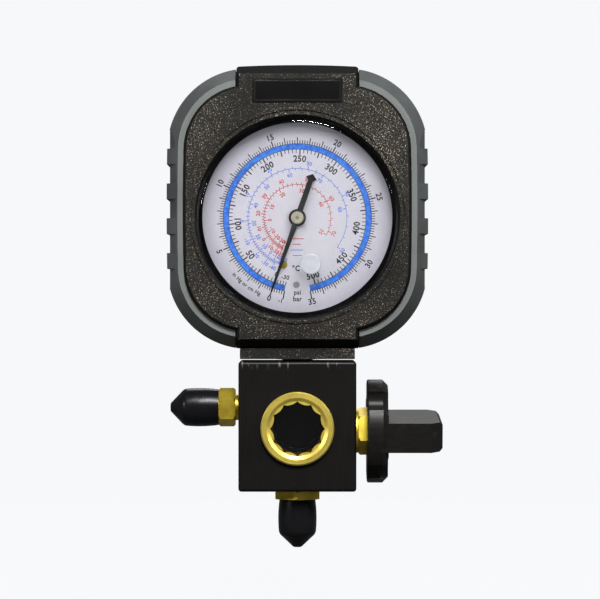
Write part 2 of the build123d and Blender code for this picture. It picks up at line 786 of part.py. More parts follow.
# Pointer: tapered blade, hub and arrow-shaped tail, drawn pointing up and turned to zero
with BuildSketch() as pointer_blade:
    with BuildLine():
        Polyline(
            (-pointer_root_width / 2, 0),
            (-pointer_tip_width / 2, pointer_length - pointer_tip_width),
            (0, pointer_length),
            (pointer_tip_width / 2, pointer_length - pointer_tip_width),
            (pointer_root_width / 2, 0),
            close=True,
        )
    make_face()
    with BuildLine():
        Polyline(
            (-pointer_root_width / 2, 0),
            (-pointer_tail_width / 2, pointer_arrow_length - pointer_tail),
            (-pointer_arrow_width / 2, pointer_barb_length - pointer_tail),
            (0, -pointer_tail),
            (pointer_arrow_width / 2, pointer_barb_length - pointer_tail),
            (pointer_tail_width / 2, pointer_arrow_length - pointer_tail),
            (pointer_root_width / 2, 0),
            close=True,
        )
    make_face()
    Circle(pointer_hub_radius)

with BuildPart() as pointer:
    with BuildSketch(front_plane(pointer_depth)):
        add(pointer_blade.sketch, rotation=180 - pointer_rest_angle)
        Circle(arbor_radius, mode=Mode.SUBTRACT)
    extrude(amount=pointer_thickness)
pointer.part.label = "pointer"

# Bright cap pressed over the pointer's hub
with BuildPart() as pointer_cap:
    with BuildSketch(front_plane(pointer_depth + pointer_thickness)):
        Circle(pointer_cap_radius)
    extrude(amount=pointer_cap_thickness)
    fillet(pointer_cap.edges().group_by(Axis.Y)[0], radius=pointer_cap_thickness / 2)
    with BuildSketch(front_plane(pointer_depth + pointer_thickness)):
        Circle(arbor_radius)
    extrude(amount=pointer_cap_thickness, mode=Mode.SUBTRACT)
pointer_cap.part.label = "pointer_cap"


# One tooth with straight flanks, pointing along +X from the centre of its gear.
def tooth_outline(pitch_radius, tooth_count):
    half_pitch = math.pi / tooth_count
    root_radius = pitch_radius - tooth_dedendum * gear_module
    tip_radius = pitch_radius + tooth_addendum * gear_module
    half_tip = half_pitch * tooth_fill * tooth_tip_share
    half_root = half_pitch * tooth_fill * tooth_root_share
    with BuildSketch() as tooth:
        with BuildLine():
            Polyline(
                (root_radius - gear_module, -root_radius * half_root),
                (root_radius, -root_radius * half_root),
                (tip_radius, -tip_radius * half_tip),
                (tip_radius, tip_radius * half_tip),
                (root_radius, root_radius * half_root),
                (root_radius - gear_module, root_radius * half_root),
                close=True,
            )
        make_face()
    return tooth.sketch


pinion_tooth = tooth_outline(pinion_radius, pinion_teeth)
sector_tooth = tooth_outline(sector_radius, sector_full_teeth)

# Arbor that carries the pointer, with the pinion cut on it; a gap of the pinion faces the sector
with BuildPart() as pinion_arbor:
    with BuildSketch(front_plane(movement_back_depth)):
        Circle(arbor_radius)
    extrude(amount=pointer_depth + pointer_thickness + pointer_cap_thickness - movement_back_depth)
    with BuildSketch(front_plane(gear_depth - pinion_length / 2)):
        Circle(pinion_radius - tooth_dedendum * gear_module)
        for tooth in range(pinion_teeth):
            tooth_angle = sector_direction + 360 * (tooth + 0.5) / pinion_teeth
            add(pinion_tooth, rotation=tooth_angle)
    extrude(amount=pinion_length)
pinion_arbor.part.label = "pinion_arbor"

# Toothed sector: rim, web, hub and the tail that the link pulls
with BuildPart() as sector_gear:
    with BuildSketch(front_plane_at(sector_x, sector_z, gear_depth - sector_thickness / 2)):
        rim_angles = [
            sector_direction + 180 - sector_pitch_angle * (sector_rising_teeth + 0.5),
            sector_direction + 180 + sector_pitch_angle * (sector_falling_teeth + 0.5),
        ]
        rim_root = sector_radius - tooth_dedendum * gear_module
        with BuildLine():
            rim_arc = CenterArc((0, 0), rim_root, rim_angles[0], rim_angles[1] - rim_angles[0])
            Line((0, 0), rim_arc @ 0)
            Line((0, 0), rim_arc @ 1)
        make_face()
        for tooth in range(-sector_rising_teeth, sector_falling_teeth + 1):
            add(sector_tooth, rotation=sector_direction + 180 + tooth * sector_pitch_angle)
        Circle(sector_hub_radius)
        with Locations(Rotation(0, 0, sector_tail_direction)):
            with Locations((sector_tail_length / 2, 0)):
                SlotCenterToCenter(sector_tail_length, link_width)
        Circle(arbor_radius, mode=Mode.SUBTRACT)
        with Locations((tail_x - sector_x, tail_z - sector_z)):
            Circle(link_pin_radius, mode=Mode.SUBTRACT)
    extrude(amount=sector_thickness)
sector_gear.part.label = "sector_gear"

# Arbor of the sector, pressed into it and turning in both plates
with BuildPart() as sector_arbor:
    with BuildSketch(front_plane_at(sector_x, sector_z, movement_back_depth)):
        Circle(arbor_radius)
    extrude(amount=plate_front_depth - movement_back_depth)
sector_arbor.part.label = "sector_arbor"

# Pin in the sector's tail that the link turns on
with BuildPart() as link_pin:
    with BuildSketch(front_plane_at(tail_x, tail_z, link_depth - link_thickness)):
        Circle(link_pin_radius)
    extrude(amount=gear_depth + sector_thickness / 2 - link_depth + link_thickness)
link_pin.part.label = "link_pin"

# Link from the sector's tail to the free end of the tube; it lies loosely against the tube's lug
with BuildPart() as tube_link:
    with BuildSketch(front_plane(link_depth - link_thickness)):
        with Locations(((tail_x + lug_x) / 2, (tail_z + lug_z) / 2)):
            SlotCenterToCenter(link_length, link_width, rotation=link_angle)
        with Locations((tail_x, tail_z)):
            Circle(link_pin_radius + running_clearance, mode=Mode.SUBTRACT)
        with Locations((lug_x, lug_z)):
            Circle(link_pin_radius + running_clearance, mode=Mode.SUBTRACT)
    extrude(amount=link_thickness)
tube_link.part.label = "tube_link"

# Both movement plates share one outline round the two arbors
with BuildSketch() as plate_outline:
    with BuildLine():
        Polyline(*plate_corners, close=True)
    make_face()
    fillet(plate_outline.vertices(), radius=plate_corner_radius)
    for arbor_x, arbor_z in ((0, 0), (sector_x, sector_z)):
        with Locations((arbor_x, arbor_z)):
            Circle(arbor_radius + running_clearance, mode=Mode.SUBTRACT)

# Front plate, with the hole that the zero screw turns in
with BuildPart() as movement_front_plate:
    with BuildSketch(front_plane(plate_front_depth - plate_thickness)):
        add(plate_outline.sketch)
        with Locations((zero_screw_x, zero_screw_z)):
            Circle(zero_screw_shank_radius + running_clearance, mode=Mode.SUBTRACT)
    extrude(amount=plate_thickness)
movement_front_plate.part.label = "movement_front_plate"

# Rear plate, with a tongue screwed to the socket and a stud for the hairspring
with BuildPart() as movement_rear_plate:
    with BuildSketch(front_plane(movement_back_depth)):
        add(plate_outline.sketch)
        with Locations((0, (head_top + head_bottom) / 2)):
            Rectangle(2 * head_half_width, head_top - head_bottom)
        with Locations((-movement_screw_x, movement_screw_z), (movement_screw_x, movement_screw_z)):
            Circle(movement_screw_radius + thread_clearance, mode=Mode.SUBTRACT)
    extrude(amount=plate_thickness)
    with BuildSketch(front_plane(movement_back_depth + plate_thickness)):
        with Locations((hairspring_end_radius + hairspring_wall / 2 + hairspring_stud_radius, 0)):
            Circle(hairspring_stud_radius)
    extrude(amount=soft_clearance + hairspring_width)
movement_rear_plate.part.label = "movement_rear_plate"

# Three pillars between the plates
with BuildPart() as movement_pillars:
    with BuildSketch(front_plane(movement_back_depth + plate_thickness)):
        with Locations(*pillar_points):
            Circle(pillar_radius)
    extrude(amount=plate_gap)
movement_pillars.part.label = "movement_pillars"

# Two screws that hold the movement on the socket
with BuildPart() as movement_screws:
    with BuildSketch(front_plane(movement_back_depth + plate_thickness)):
        with Locations((-movement_screw_x, movement_screw_z), (movement_screw_x, movement_screw_z)):
            Circle(movement_screw_head_radius)
    extrude(amount=movement_screw_head)
    with BuildSketch(front_plane(movement_back_depth + plate_thickness + movement_screw_head)):
        with Locations((-movement_screw_x, movement_screw_z), (movement_screw_x, movement_screw_z)):
            Rectangle(2 * movement_screw_head_radius, slot_width)
    extrude(amount=-slot_depth, mode=Mode.SUBTRACT)
    with BuildSketch(front_plane(movement_back_depth + plate_thickness)):
        with Locations((-movement_screw_x, movement_screw_z), (movement_screw_x, movement_screw_z)):
            Circle(movement_screw_radius)
    extrude(amount=-movement_screw_length)
movement_screws.part.label = "movement_screws"

# Hairspring: a flat spiral of half turns, from beside the arbor out to its stud
with BuildPart() as hairspring:
    with BuildLine(front_plane(hairspring_depth)) as spiral:
        for half_turn in range(2 * hairspring_turns):
            side = -1 if half_turn % 2 else 1
            inner_reach = hairspring_inner_radius + half_turn * hairspring_pitch / 2
            outer_reach = inner_reach + hairspring_pitch / 2
            ThreePointArc(
                (side * inner_reach, 0),
                (side * (inner_reach - outer_reach) / 2, side * (inner_reach + outer_reach) / 2),
                (-side * outer_reach, 0),
            )
    with BuildSketch(Plane(origin=spiral.line @ 0, x_dir=(1, 0, 0), z_dir=spiral.line % 0)):
        Rectangle(hairspring_wall, hairspring_width)
    sweep(path=spiral.line)
hairspring.part.label = "hairspring"

# Socket and stem: the head carries the tube and the movement, the stem screws into the block
with BuildPart() as gauge_socket:
    with BuildSketch(front_plane(movement_back_depth - head_depth)):
        with Locations((0, (head_top + head_bottom) / 2)):
            Rectangle(2 * head_half_width, head_top - head_bottom)
    extrude(amount=head_depth)
    with BuildSketch(stem_plane.offset(stem_shoulder_z - block_top)):
        Circle(stem_radius)
    extrude(amount=head_bottom - stem_shoulder_z)
    with BuildSketch(stem_plane.offset(-stem_thread_depth)):
        Circle(stem_thread_radius)
    extrude(amount=stem_shoulder_z - block_top + stem_thread_depth)
    chamfer(gauge_socket.edges().group_by(Axis.Z)[0], length=hex_corner_cut)
    with BuildSketch(stem_plane.offset(-stem_thread_depth)):
        Circle(stem_bore_radius)
    extrude(amount=stem_thread_depth - block_top - tube_radius, mode=Mode.SUBTRACT)
    with BuildSketch(front_plane(movement_back_depth)):
        with Locations((-movement_screw_x, movement_screw_z), (movement_screw_x, movement_screw_z)):
            Circle(movement_screw_radius + thread_clearance)
    extrude(amount=-movement_screw_length, mode=Mode.SUBTRACT)
    with BuildSketch(tube_start_plane):
        SlotOverall(tube_depth, tube_wall_height, rotation=90)
    revolve(axis=Axis.Y, revolution_arc=tube_arc, mode=Mode.SUBTRACT)
gauge_socket.part.label = "gauge_socket"

# Bourdon tube: a flattened tube bent into a C, open into the socket and closed at its free end
with BuildPart() as bourdon_tube:
    with BuildSketch(tube_start_plane):
        SlotOverall(tube_depth, tube_wall_height, rotation=90)
        SlotOverall(
            tube_depth - 2 * tube_wall,
            tube_wall_height - 2 * tube_wall,
            rotation=90,
            mode=Mode.SUBTRACT,
        )
    revolve(axis=Axis.Y, revolution_arc=tube_arc)
bourdon_tube.part.label = "bourdon_tube"

# Closed end of the tube, with the lug that the link lies against
with BuildPart() as tube_end:
    with BuildSketch(tube_end_plane):
        Rectangle(tube_wall_height + 2 * tube_end_margin, head_depth)
    extrude(amount=tube_end_length)
    with BuildSketch(front_plane_at(lug_x, lug_z, tube_centre_depth)):
        Circle(tube_lug_radius)
    extrude(amount=link_depth - link_thickness - soft_clearance - tube_centre_depth)
tube_end.part.label = "tube_end"

# Lock nut between the stem's shoulder and the seal
with BuildPart() as stem_nut:
    with BuildSketch(stem_plane.offset(seal_thickness)):
        RegularPolygon(nut_flats / 2, 6, major_radius=False)
        Circle(stem_thread_radius + thread_clearance, mode=Mode.SUBTRACT)
    extrude(amount=stem_shoulder_z - block_top - seal_thickness)
stem_nut.part.label = "stem_nut"

# Sealing ring between the nut and the block
with BuildPart() as stem_seal:
    with BuildSketch(stem_plane):
        Circle(seal_radius)
        Circle(stem_thread_radius + thread_clearance, mode=Mode.SUBTRACT)
    extrude(amount=seal_thickness)
stem_seal.part.label = "stem_seal"

# Manifold block with its bores: sight glass in front, gauge on top, ports left and below, valve right
with BuildPart() as manifold_block:
    with BuildSketch(front_plane(block_back_depth)):
        with Locations((0, (block_top + block_bottom) / 2)):
            Rectangle(block_width, block_height)
    extrude(amount=block_depth)
    fillet(manifold_block.edges(), radius=block_edge_round)
    with BuildSketch(sight_plane):
        Circle(sight_thread_radius + thread_clearance)
    extrude(amount=-sight_bore_depth, mode=Mode.SUBTRACT)
    with BuildSketch(sight_plane):
        Circle(cavity_radius)
    extrude(amount=cavity_floor_depth - block_front_depth, mode=Mode.SUBTRACT)
    with BuildSketch(front_plane_at(0, sight_z, cavity_floor_depth)):
        Circle(dimple_radius)
    extrude(amount=-dimple_depth, mode=Mode.SUBTRACT)
    with BuildSketch(stem_plane):
        Circle(stem_thread_radius + thread_clearance)
    extrude(amount=-(stem_thread_depth + soft_clearance), mode=Mode.SUBTRACT)
    with BuildSketch(stem_plane):
        Circle(passage_radius)
    extrude(amount=sight_z - block_top, mode=Mode.SUBTRACT)
    port_passages = ((left_port_plane, block_side), (bottom_port_plane, sight_z - block_bottom))
    for port_plane, passage_length in port_passages:
        with BuildSketch(port_plane):
            Circle(shank_radius + thread_clearance)
        extrude(amount=-(shank_length + soft_clearance), mode=Mode.SUBTRACT)
        with BuildSketch(port_plane):
            Circle(passage_radius)
        extrude(amount=-passage_length, mode=Mode.SUBTRACT)
    with BuildSketch(valve_plane):
        Circle(bonnet_thread_radius + thread_clearance)
    extrude(amount=-valve_bore_length, mode=Mode.SUBTRACT)
    with BuildSketch(valve_plane):
        Circle(passage_radius)
    extrude(amount=-block_side, mode=Mode.SUBTRACT)
    with BuildSketch(front_plane_at(mark_x, block_bottom + mark_height, block_front_depth)):
        Circle(mark_radius)
    extrude(amount=-mark_depth, mode=Mode.SUBTRACT)
manifold_block.part.label = "manifold_block"

# Threaded brass ring of the sight glass; its opening has rounded points for a spanner
with BuildPart() as sight_glass_ring:
    with BuildSketch(sight_plane):
        Circle(sight_flange_radius)
    extrude(amount=sight_flange_thickness)
    chamfer(sight_glass_ring.edges().group_by(Axis.Y)[0], length=sight_ring_chamfer)
    with BuildSketch(sight_plane):
        Circle(sight_thread_radius)
    extrude(amount=-sight_ring_length)
    with BuildSketch(sight_plane.offset(sight_flange_thickness)):
        with BuildLine():
            for point in range(wrench_points):
                start_angle = 360 * point / wrench_points
                middle_angle = 360 * (point + 0.5) / wrench_points
                end_angle = 360 * (point + 1) / wrench_points
                ThreePointArc(
                    round_point(wrench_cusp_radius, start_angle),
                    round_point(wrench_lobe_radius, middle_angle),
                    round_point(wrench_cusp_radius, end_angle),
                )
        make_face()
    extrude(amount=-wrench_depth, mode=Mode.SUBTRACT)
    with BuildSketch(Plane.YZ):
        with BuildLine():
            Polyline(
                (-ring_front_depth, sight_z),
                (-ring_front_depth, sight_z + bevel_radius),
                (bevel_depth - ring_front_depth, sight_z + wrench_cusp_radius),
                (bevel_depth - ring_front_depth, sight_z),
                close=True,
            )
        make_face()
    revolve(axis=sight_axis, mode=Mode.SUBTRACT)
    with BuildSketch(sight_plane.offset(-sight_ring_length)):
        Circle(sight_lip_radius)
    extrude(amount=sight_ring_length + sight_flange_thickness, mode=Mode.SUBTRACT)
    with BuildSketch(sight_plane.offset(-sight_ring_length)):
        Circle(glass_radius + seat_clearance)
    extrude(amount=glass_thickness, mode=Mode.SUBTRACT)
sight_glass_ring.part.label = "sight_glass_ring"

# Glass disc held in the back of the ring
with BuildPart() as sight_glass:
    with BuildSketch(sight_plane.offset(-sight_ring_length)):
        Circle(glass_radius)
    extrude(amount=glass_thickness - seat_clearance)
    chamfer(sight_glass.edges(), length=glass_chamfer)
sight_glass.part.label = "sight_glass"

# Seal between the glass and the shoulder of the bore
with BuildPart() as sight_glass_seal:
    with BuildSketch(sight_plane.offset(-sight_bore_depth)):
        Circle(glass_radius)
        Circle(glass_radius - glass_seal_width, mode=Mode.SUBTRACT)
    extrude(amount=sight_bore_depth - sight_ring_length)
sight_glass_seal.part.label = "sight_glass_seal"


# A hexagon whose corners are turned down at both ends, as on a nut, standing on a plane.
def turned_hexagon(hex_plane, flats, length, turn):
    with BuildPart() as blank:
        with BuildSketch(hex_plane):
            Circle(flats / math.sqrt(3))
        extrude(amount=length)
        chamfer(blank.edges().filter_by(GeomType.CIRCLE), length=hex_corner_cut)
    with BuildPart() as hexagon:
        with BuildSketch(hex_plane):
            RegularPolygon(flats / 2, 6, major_radius=False, rotation=turn)
        extrude(amount=length)
        add(blank.part, mode=Mode.INTERSECT)
    return hexagon.part


# A brass hose port: threaded shank into the block, hexagon, then the flare thread and its cone.
def flare_fitting(port_plane, neck_length, hex_flats, hex_length, hex_turn):
    thread_start = neck_length + hex_length
    tip = thread_start + flare_thread_length
    with BuildPart() as fitting:
        with BuildSketch(port_plane.offset(-shank_length)):
            Circle(shank_radius)
        extrude(amount=shank_length + thread_start)
        add(turned_hexagon(port_plane.offset(neck_length), hex_flats, hex_length, hex_turn))
        with BuildSketch(port_plane.offset(thread_start)):
            Circle(flare_thread_radius)
        extrude(amount=flare_thread_length)
        chamfer(fitting.edges().sort_by(Axis(port_plane.origin, port_plane.z_dir))[-1], length=flare_cone)
        thread_turns = int((flare_thread_length - flare_cone) / flare_thread_pitch)
        for turn in range(thread_turns):
            groove_plane = port_plane.offset(thread_start + (turn + 0.5) * flare_thread_pitch)
            section_plane = Plane(
                origin=groove_plane.origin, x_dir=port_plane.x_dir, z_dir=port_plane.y_dir
            )
            with BuildSketch(section_plane):
                with Locations((flare_thread_radius, 0)):
                    Rectangle(flare_thread_cut, flare_thread_cut, rotation=45)
            revolve(axis=Axis(port_plane.origin, port_plane.z_dir), mode=Mode.SUBTRACT)
        with BuildSketch(port_plane.offset(-shank_length)):
            Circle(flare_bore_radius)
        extrude(amount=shank_length + tip, mode=Mode.SUBTRACT)
    return fitting.part


# A soft dust cap: slightly bulged sleeve with a rounded shoulder and a blunt cone, open at the hexagon.
def dust_cap(port_plane, mouth_distance):
    cap_plane = port_plane.offset(mouth_distance + cap_gap)
    with BuildPart() as cap:
        profile_plane = Plane(origin=cap_plane.origin, x_dir=port_plane.x_dir, z_dir=-port_plane.y_dir)
        with BuildSketch(profile_plane) as profile:
            with BuildLine():
                mouth = (cap_mouth_radius, 0)
                shoulder = (cap_radius - cap_shoulder_drop, cap_shoulder)
                ThreePointArc(mouth, (cap_radius, cap_belly), shoulder)
                Polyline(shoulder, (cap_tip_radius, cap_length), (0, cap_length), (0, 0), mouth)
            make_face()
            fillet(profile.vertices().sort_by(Axis.Y)[2], radius=cap_shoulder_round)
            fillet(profile.vertices().group_by(Axis.Y)[-1].sort_by(Axis.X)[-1], radius=cap_tip_round)
        revolve(axis=Axis(cap_plane.origin, cap_plane.z_dir))
        with BuildSketch(cap_plane):
            Circle(flare_thread_radius + running_clearance)
        extrude(amount=cap_bore_depth, mode=Mode.SUBTRACT)
    return cap.part


left_port_fitting = flare_fitting(
    left_port_plane, left_neck_length, left_hex_flats, left_hex_length, left_hex_turn
)
left_port_fitting.label = "left_port_fitting"
left_port_cap = dust_cap(left_port_plane, left_neck_length + left_hex_length)
left_port_cap.label = "left_port_cap"

bottom_port_fitting = flare_fitting(
    bottom_port_plane, bottom_neck_length, bottom_hex_flats, bottom_hex_length, bottom_hex_turn
)
bottom_port_fitting.label = "bottom_port_fitting"
bottom_port_cap = dust_cap(bottom_port_plane, bottom_neck_length + bottom_hex_length)
bottom_port_cap.label = "bottom_port_cap"

# Washer under the valve bonnet
with BuildPart() as bonnet_washer:
    with BuildSketch(valve_plane):
        Circle(washer_radius)
        Circle(bonnet_thread_radius + thread_clearance, mode=Mode.SUBTRACT)
    extrude(amount=washer_thickness)
    chamfer(bonnet_washer.edges().group_by(Axis.X)[-1].sort_by(SortBy.RADIUS)[-1], length=washer_chamfer)
bonnet_washer.part.label = "bonnet_washer"

# Valve bonnet: threaded body, hexagon, stem bore and the chamber that the stem's collar lifts in
with BuildPart() as valve_bonnet:
    with BuildSketch(valve_plane.offset(-bonnet_thread_length)):
        Circle(bonnet_thread_radius)
    extrude(amount=bonnet_thread_length + washer_thickness)
    add(
        turned_hexagon(
            valve_plane.offset(washer_thickness), bonnet_flats, bonnet_hex_length, bonnet_hex_turn
        )
    )
    with BuildSketch(valve_plane.offset(-bonnet_thread_length)):
        Circle(stem_shaft_radius + running_clearance)
    extrude(amount=bonnet_thread_length + washer_thickness + bonnet_hex_length, mode=Mode.SUBTRACT)
    with BuildSketch(valve_plane.offset(-bonnet_thread_length)):
        Circle(chamber_radius)
    extrude(amount=chamber_length, mode=Mode.SUBTRACT)
valve_bonnet.part.label = "valve_bonnet"

# Stem: collar in the chamber, shaft with two ring grooves, square end in the knob
with BuildPart() as valve_stem:
    with BuildSketch(valve_plane.offset(stem_start)):
        Circle(stem_collar_radius)
    extrude(amount=stem_collar_length)
    with BuildSketch(valve_plane.offset(stem_start)):
        Circle(stem_shaft_radius)
    extrude(amount=square_start - stem_start)
    with BuildSketch(valve_plane.offset(square_start)):
        Rectangle(stem_square, stem_square, rotation=knob_turn)
    extrude(amount=stem_square_length)
    with BuildSketch(valve_plane.offset(square_start + stem_square_length)):
        Circle(knob_screw_radius + thread_clearance)
    extrude(amount=-(stem_square_length - stem_square), mode=Mode.SUBTRACT)
    for ring_centre in ring_centres:
        with BuildSketch(valve_plane.offset(ring_centre - ring_wire_radius)):
            Circle(2 * stem_shaft_radius)
            Circle(ring_radius - ring_wire_radius, mode=Mode.SUBTRACT)
        extrude(amount=2 * ring_wire_radius, mode=Mode.SUBTRACT)
valve_stem.part.label = "valve_stem"

# Two rubber rings in the stem's grooves
with BuildPart() as stem_o_rings:
    for ring_centre in ring_centres:
        ring_plane = valve_plane.offset(ring_centre)
        section_plane = Plane(origin=ring_plane.origin, x_dir=ring_plane.x_dir, z_dir=ring_plane.y_dir)
        with BuildSketch(section_plane):
            with Locations((ring_radius, 0)):
                Circle(ring_wire_radius)
        revolve(axis=Axis(valve_plane.origin, valve_plane.z_dir))
stem_o_rings.part.label = "stem_o_rings"

# Disc that closes the seat; it rides on the stem's end without turning
with BuildPart() as valve_disc:
    with BuildSketch(valve_plane.offset(disc_start)):
        Circle(disc_radius)
    extrude(amount=disc_thickness)
    chamfer(valve_disc.edges(), length=disc_chamfer)
valve_disc.part.label = "valve_disc"

# Knob: base disc with four finger scallops, and a thick grip plate across it
with BuildPart() as valve_knob:
    with BuildSketch(knob_plane):
        Circle(knob_radius)
    extrude(amount=knob_base_thickness)
    with BuildSketch(knob_plane):
        with PolarLocations(scallop_centre_radius, 4, start_angle=45):
            Circle(scallop_radius)
    extrude(amount=knob_base_thickness, mode=Mode.SUBTRACT)
    chamfer(valve_knob.edges().group_by(Axis.X)[-1], length=knob_rim_chamfer)
    fillet(valve_knob.edges().group_by(Axis.X)[0], radius=knob_back_round)
    with BuildSketch(knob_plane.offset(knob_base_thickness / 2)):
        Rectangle(grip_length, grip_thickness)
    extrude(amount=grip_rise + knob_base_thickness / 2)
    chamfer(valve_knob.edges().group_by(Axis.X)[-1].group_by(SortBy.LENGTH)[0], length=grip_end_chamfer)
    chamfer(valve_knob.edges().group_by(Axis.X)[-1].group_by(SortBy.LENGTH)[-1], length=grip_side_chamfer)
    with BuildSketch(knob_plane):
        Circle(knob_recess_radius)
    extrude(amount=knob_recess_depth, mode=Mode.SUBTRACT)
    with BuildSketch(knob_plane.offset(knob_recess_depth)):
        Rectangle(stem_square + 2 * seat_clearance, stem_square + 2 * seat_clearance)
    extrude(amount=stem_square_length + 2 * seat_clearance, mode=Mode.SUBTRACT)
    with BuildSketch(knob_plane):
        Circle(knob_screw_radius + thread_clearance)
    extrude(amount=knob_base_thickness + grip_rise, mode=Mode.SUBTRACT)
    with BuildSketch(knob_plane.offset(knob_base_thickness + grip_rise)):
        Circle(knob_screw_head_radius + seat_clearance)
    extrude(amount=-(knob_screw_sink + knob_screw_head), mode=Mode.SUBTRACT)
valve_knob.part.label = "valve_knob"

# Long screw through the grip into the stem's end
with BuildPart() as knob_screw:
    with BuildSketch(screw_head_plane):
        Circle(knob_screw_head_radius)
    extrude(amount=-knob_screw_head)
    chamfer(knob_screw.edges().group_by(Axis.X)[-1], length=screw_head_chamfer)
    with BuildSketch(screw_head_plane):
        Rectangle(knob_screw_head_radius, cross_slot_width)
        Rectangle(cross_slot_width, knob_screw_head_radius)
    extrude(amount=-cross_slot_depth, mode=Mode.SUBTRACT)
    with BuildSketch(screw_head_plane.offset(-knob_screw_head)):
        Circle(knob_screw_radius)
    extrude(amount=-knob_screw_length)
knob_screw.part.label = "knob_screw"

pieces = [
    front_housing.part,
    rear_housing.part,
    housing_screws.part,
    left_bumper.part,
    right_bumper.part,
    badge_plate.part,
    gauge_case.part,
    lens_gasket.part,
    gauge_lens.part,
    lens_plug.part,
    dial_plate.part,
    dial_post.part,
    dial_screw.part,
    zero_screw.part,
    pointer.part,
    pointer_cap.part,
    pinion_arbor.part,
    sector_gear.part,
    sector_arbor.part,
    link_pin.part,
    tube_link.part,
    movement_front_plate.part,
    movement_rear_plate.part,
    movement_pillars.part,
    movement_screws.part,
    hairspring.part,
    gauge_socket.part,
    bourdon_tube.part,
    tube_end.part,
    stem_nut.part,
    stem_seal.part,
    manifold_block.part,
    sight_glass_ring.part,
    sight_glass.part,
    sight_glass_seal.part,
    left_port_fitting,
    left_port_cap,
    bottom_port_fitting,
    bottom_port_cap,
    bonnet_washer.part,
    valve_bonnet.part,
    valve_stem.part,
    stem_o_rings.part,
    valve_disc.part,
    valve_knob.part,
    knob_screw.part,
]

for piece in pieces:
    export_step(piece, f"parts/{piece.label}.step")
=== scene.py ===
import json
import math

import bmesh
import bpy
import numpy as np
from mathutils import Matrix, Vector


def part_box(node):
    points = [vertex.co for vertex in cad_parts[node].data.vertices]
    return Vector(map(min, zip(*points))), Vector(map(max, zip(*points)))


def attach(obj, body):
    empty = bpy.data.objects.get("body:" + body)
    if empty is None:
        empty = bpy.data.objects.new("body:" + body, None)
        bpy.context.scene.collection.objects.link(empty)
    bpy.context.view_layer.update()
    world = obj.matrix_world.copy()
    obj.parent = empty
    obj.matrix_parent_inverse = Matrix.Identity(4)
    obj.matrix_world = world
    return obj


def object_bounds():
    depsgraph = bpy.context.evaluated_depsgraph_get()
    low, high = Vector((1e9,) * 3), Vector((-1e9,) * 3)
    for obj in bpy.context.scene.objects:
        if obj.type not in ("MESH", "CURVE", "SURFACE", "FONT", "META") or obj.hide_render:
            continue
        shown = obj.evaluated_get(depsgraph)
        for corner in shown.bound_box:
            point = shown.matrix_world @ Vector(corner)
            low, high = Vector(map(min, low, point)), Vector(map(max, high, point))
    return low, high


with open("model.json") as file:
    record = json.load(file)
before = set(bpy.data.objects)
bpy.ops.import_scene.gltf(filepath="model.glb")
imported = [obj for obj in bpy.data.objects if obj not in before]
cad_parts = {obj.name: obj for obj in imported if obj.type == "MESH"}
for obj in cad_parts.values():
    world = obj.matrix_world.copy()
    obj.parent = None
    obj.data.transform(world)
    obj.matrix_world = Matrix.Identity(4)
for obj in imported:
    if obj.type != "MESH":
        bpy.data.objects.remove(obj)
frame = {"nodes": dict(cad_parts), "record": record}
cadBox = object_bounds()
nodes = frame["nodes"]
mm = 0.001
print("frame loaded:", len(nodes), "nodes")


# A wrapped socket: sums, products and comparisons of wires add the Math nodes for them.
class Wire:
    def __init__(self, tree, socket=None):
        self.tree = tree
        self.socket = socket

    # Any node: settings are set first, then sockets get their values or links; one output is wrapped.
    def node(self, kind, settings={}, sockets={}, output=0):
        made = self.tree.nodes.new(kind)
        for name, value in settings.items():
            setattr(made, name, value)
        for name, value in sockets.items():
            if isinstance(value, Wire):
                self.tree.links.new(value.socket, made.inputs[name])
            else:
                made.inputs[name].default_value = value
        return Wire(self.tree, made.outputs[output])

    def maths(self, operation, *values):
        return self.node("ShaderNodeMath", {"operation": operation}, dict(enumerate(values)))

    def __add__(self, other):
        return self.maths("ADD", self, other)

    def __sub__(self, other):
        return self.maths("SUBTRACT", self, other)

    def __rsub__(self, other):
        return self.maths("SUBTRACT", other, self)

    def __mul__(self, other):
        return self.maths("MULTIPLY", self, other)

    __radd__ = __add__
    __rmul__ = __mul__

    # 0 below low, 1 above high, and smooth between them
    def step(self, low, high):
        return self.node(
            "ShaderNodeMapRange",
            {"interpolation_type": "SMOOTHSTEP"},
            {"Value": self, "From Min": low, "From Max": high},
        )

    # From one colour at 0 to another at 1
    def tint(self, dark, light):
        return self.node(
            "ShaderNodeMix",
            {"data_type": "RGBA"},
            {0: self, 6: dark, 7: light},
            output=2,
        )


# A colour given as the six hex digits seen on a screen, as linear light
def hexColour(digits):
    shown = np.array([int(digits[i:i + 2], 16) for i in (0, 2, 4)]) / 255
    linear = np.where(shown > 0.04045, ((shown + 0.055) / 1.055) ** 2.4, shown / 12.92)
    return (*linear.tolist(), 1.0)


# A material with a Principled shader; make(start) gives the values and links of its sockets.
def newMaterial(name, make):
    material = bpy.data.materials.new(name)
    material.use_nodes = True
    tree = material.node_tree
    shader = tree.nodes["Principled BSDF"]
    for socket, value in make(Wire(tree)).items():
        if isinstance(value, Wire):
            tree.links.new(value.socket, shader.inputs[socket])
        else:
            shader.inputs[socket].default_value = value
    return material


# The point being shaded in the object's own metres, with each axis stretched by a factor
def place(start, scale=(1, 1, 1)):
    where = start.node("ShaderNodeTexCoord", output=3)
    return start.node("ShaderNodeMapping", {}, {"Vector": where, "Scale": scale})


# Noise with so many lumps in a metre
def noise(start, perMetre, detail=3, stretch=(1, 1, 1)):
    return start.node(
        "ShaderNodeTexNoise", {}, {"Vector": place(start, stretch), "Scale": perMetre, "Detail": detail}
    )


# The same noise of one number, such as a distance from an axis
def ringNoise(start, number, perMetre):
    return start.node(
        "ShaderNodeTexNoise", {"noise_dimensions": "1D"}, {"W": number, "Scale": perMetre, "Detail": 2}
    )


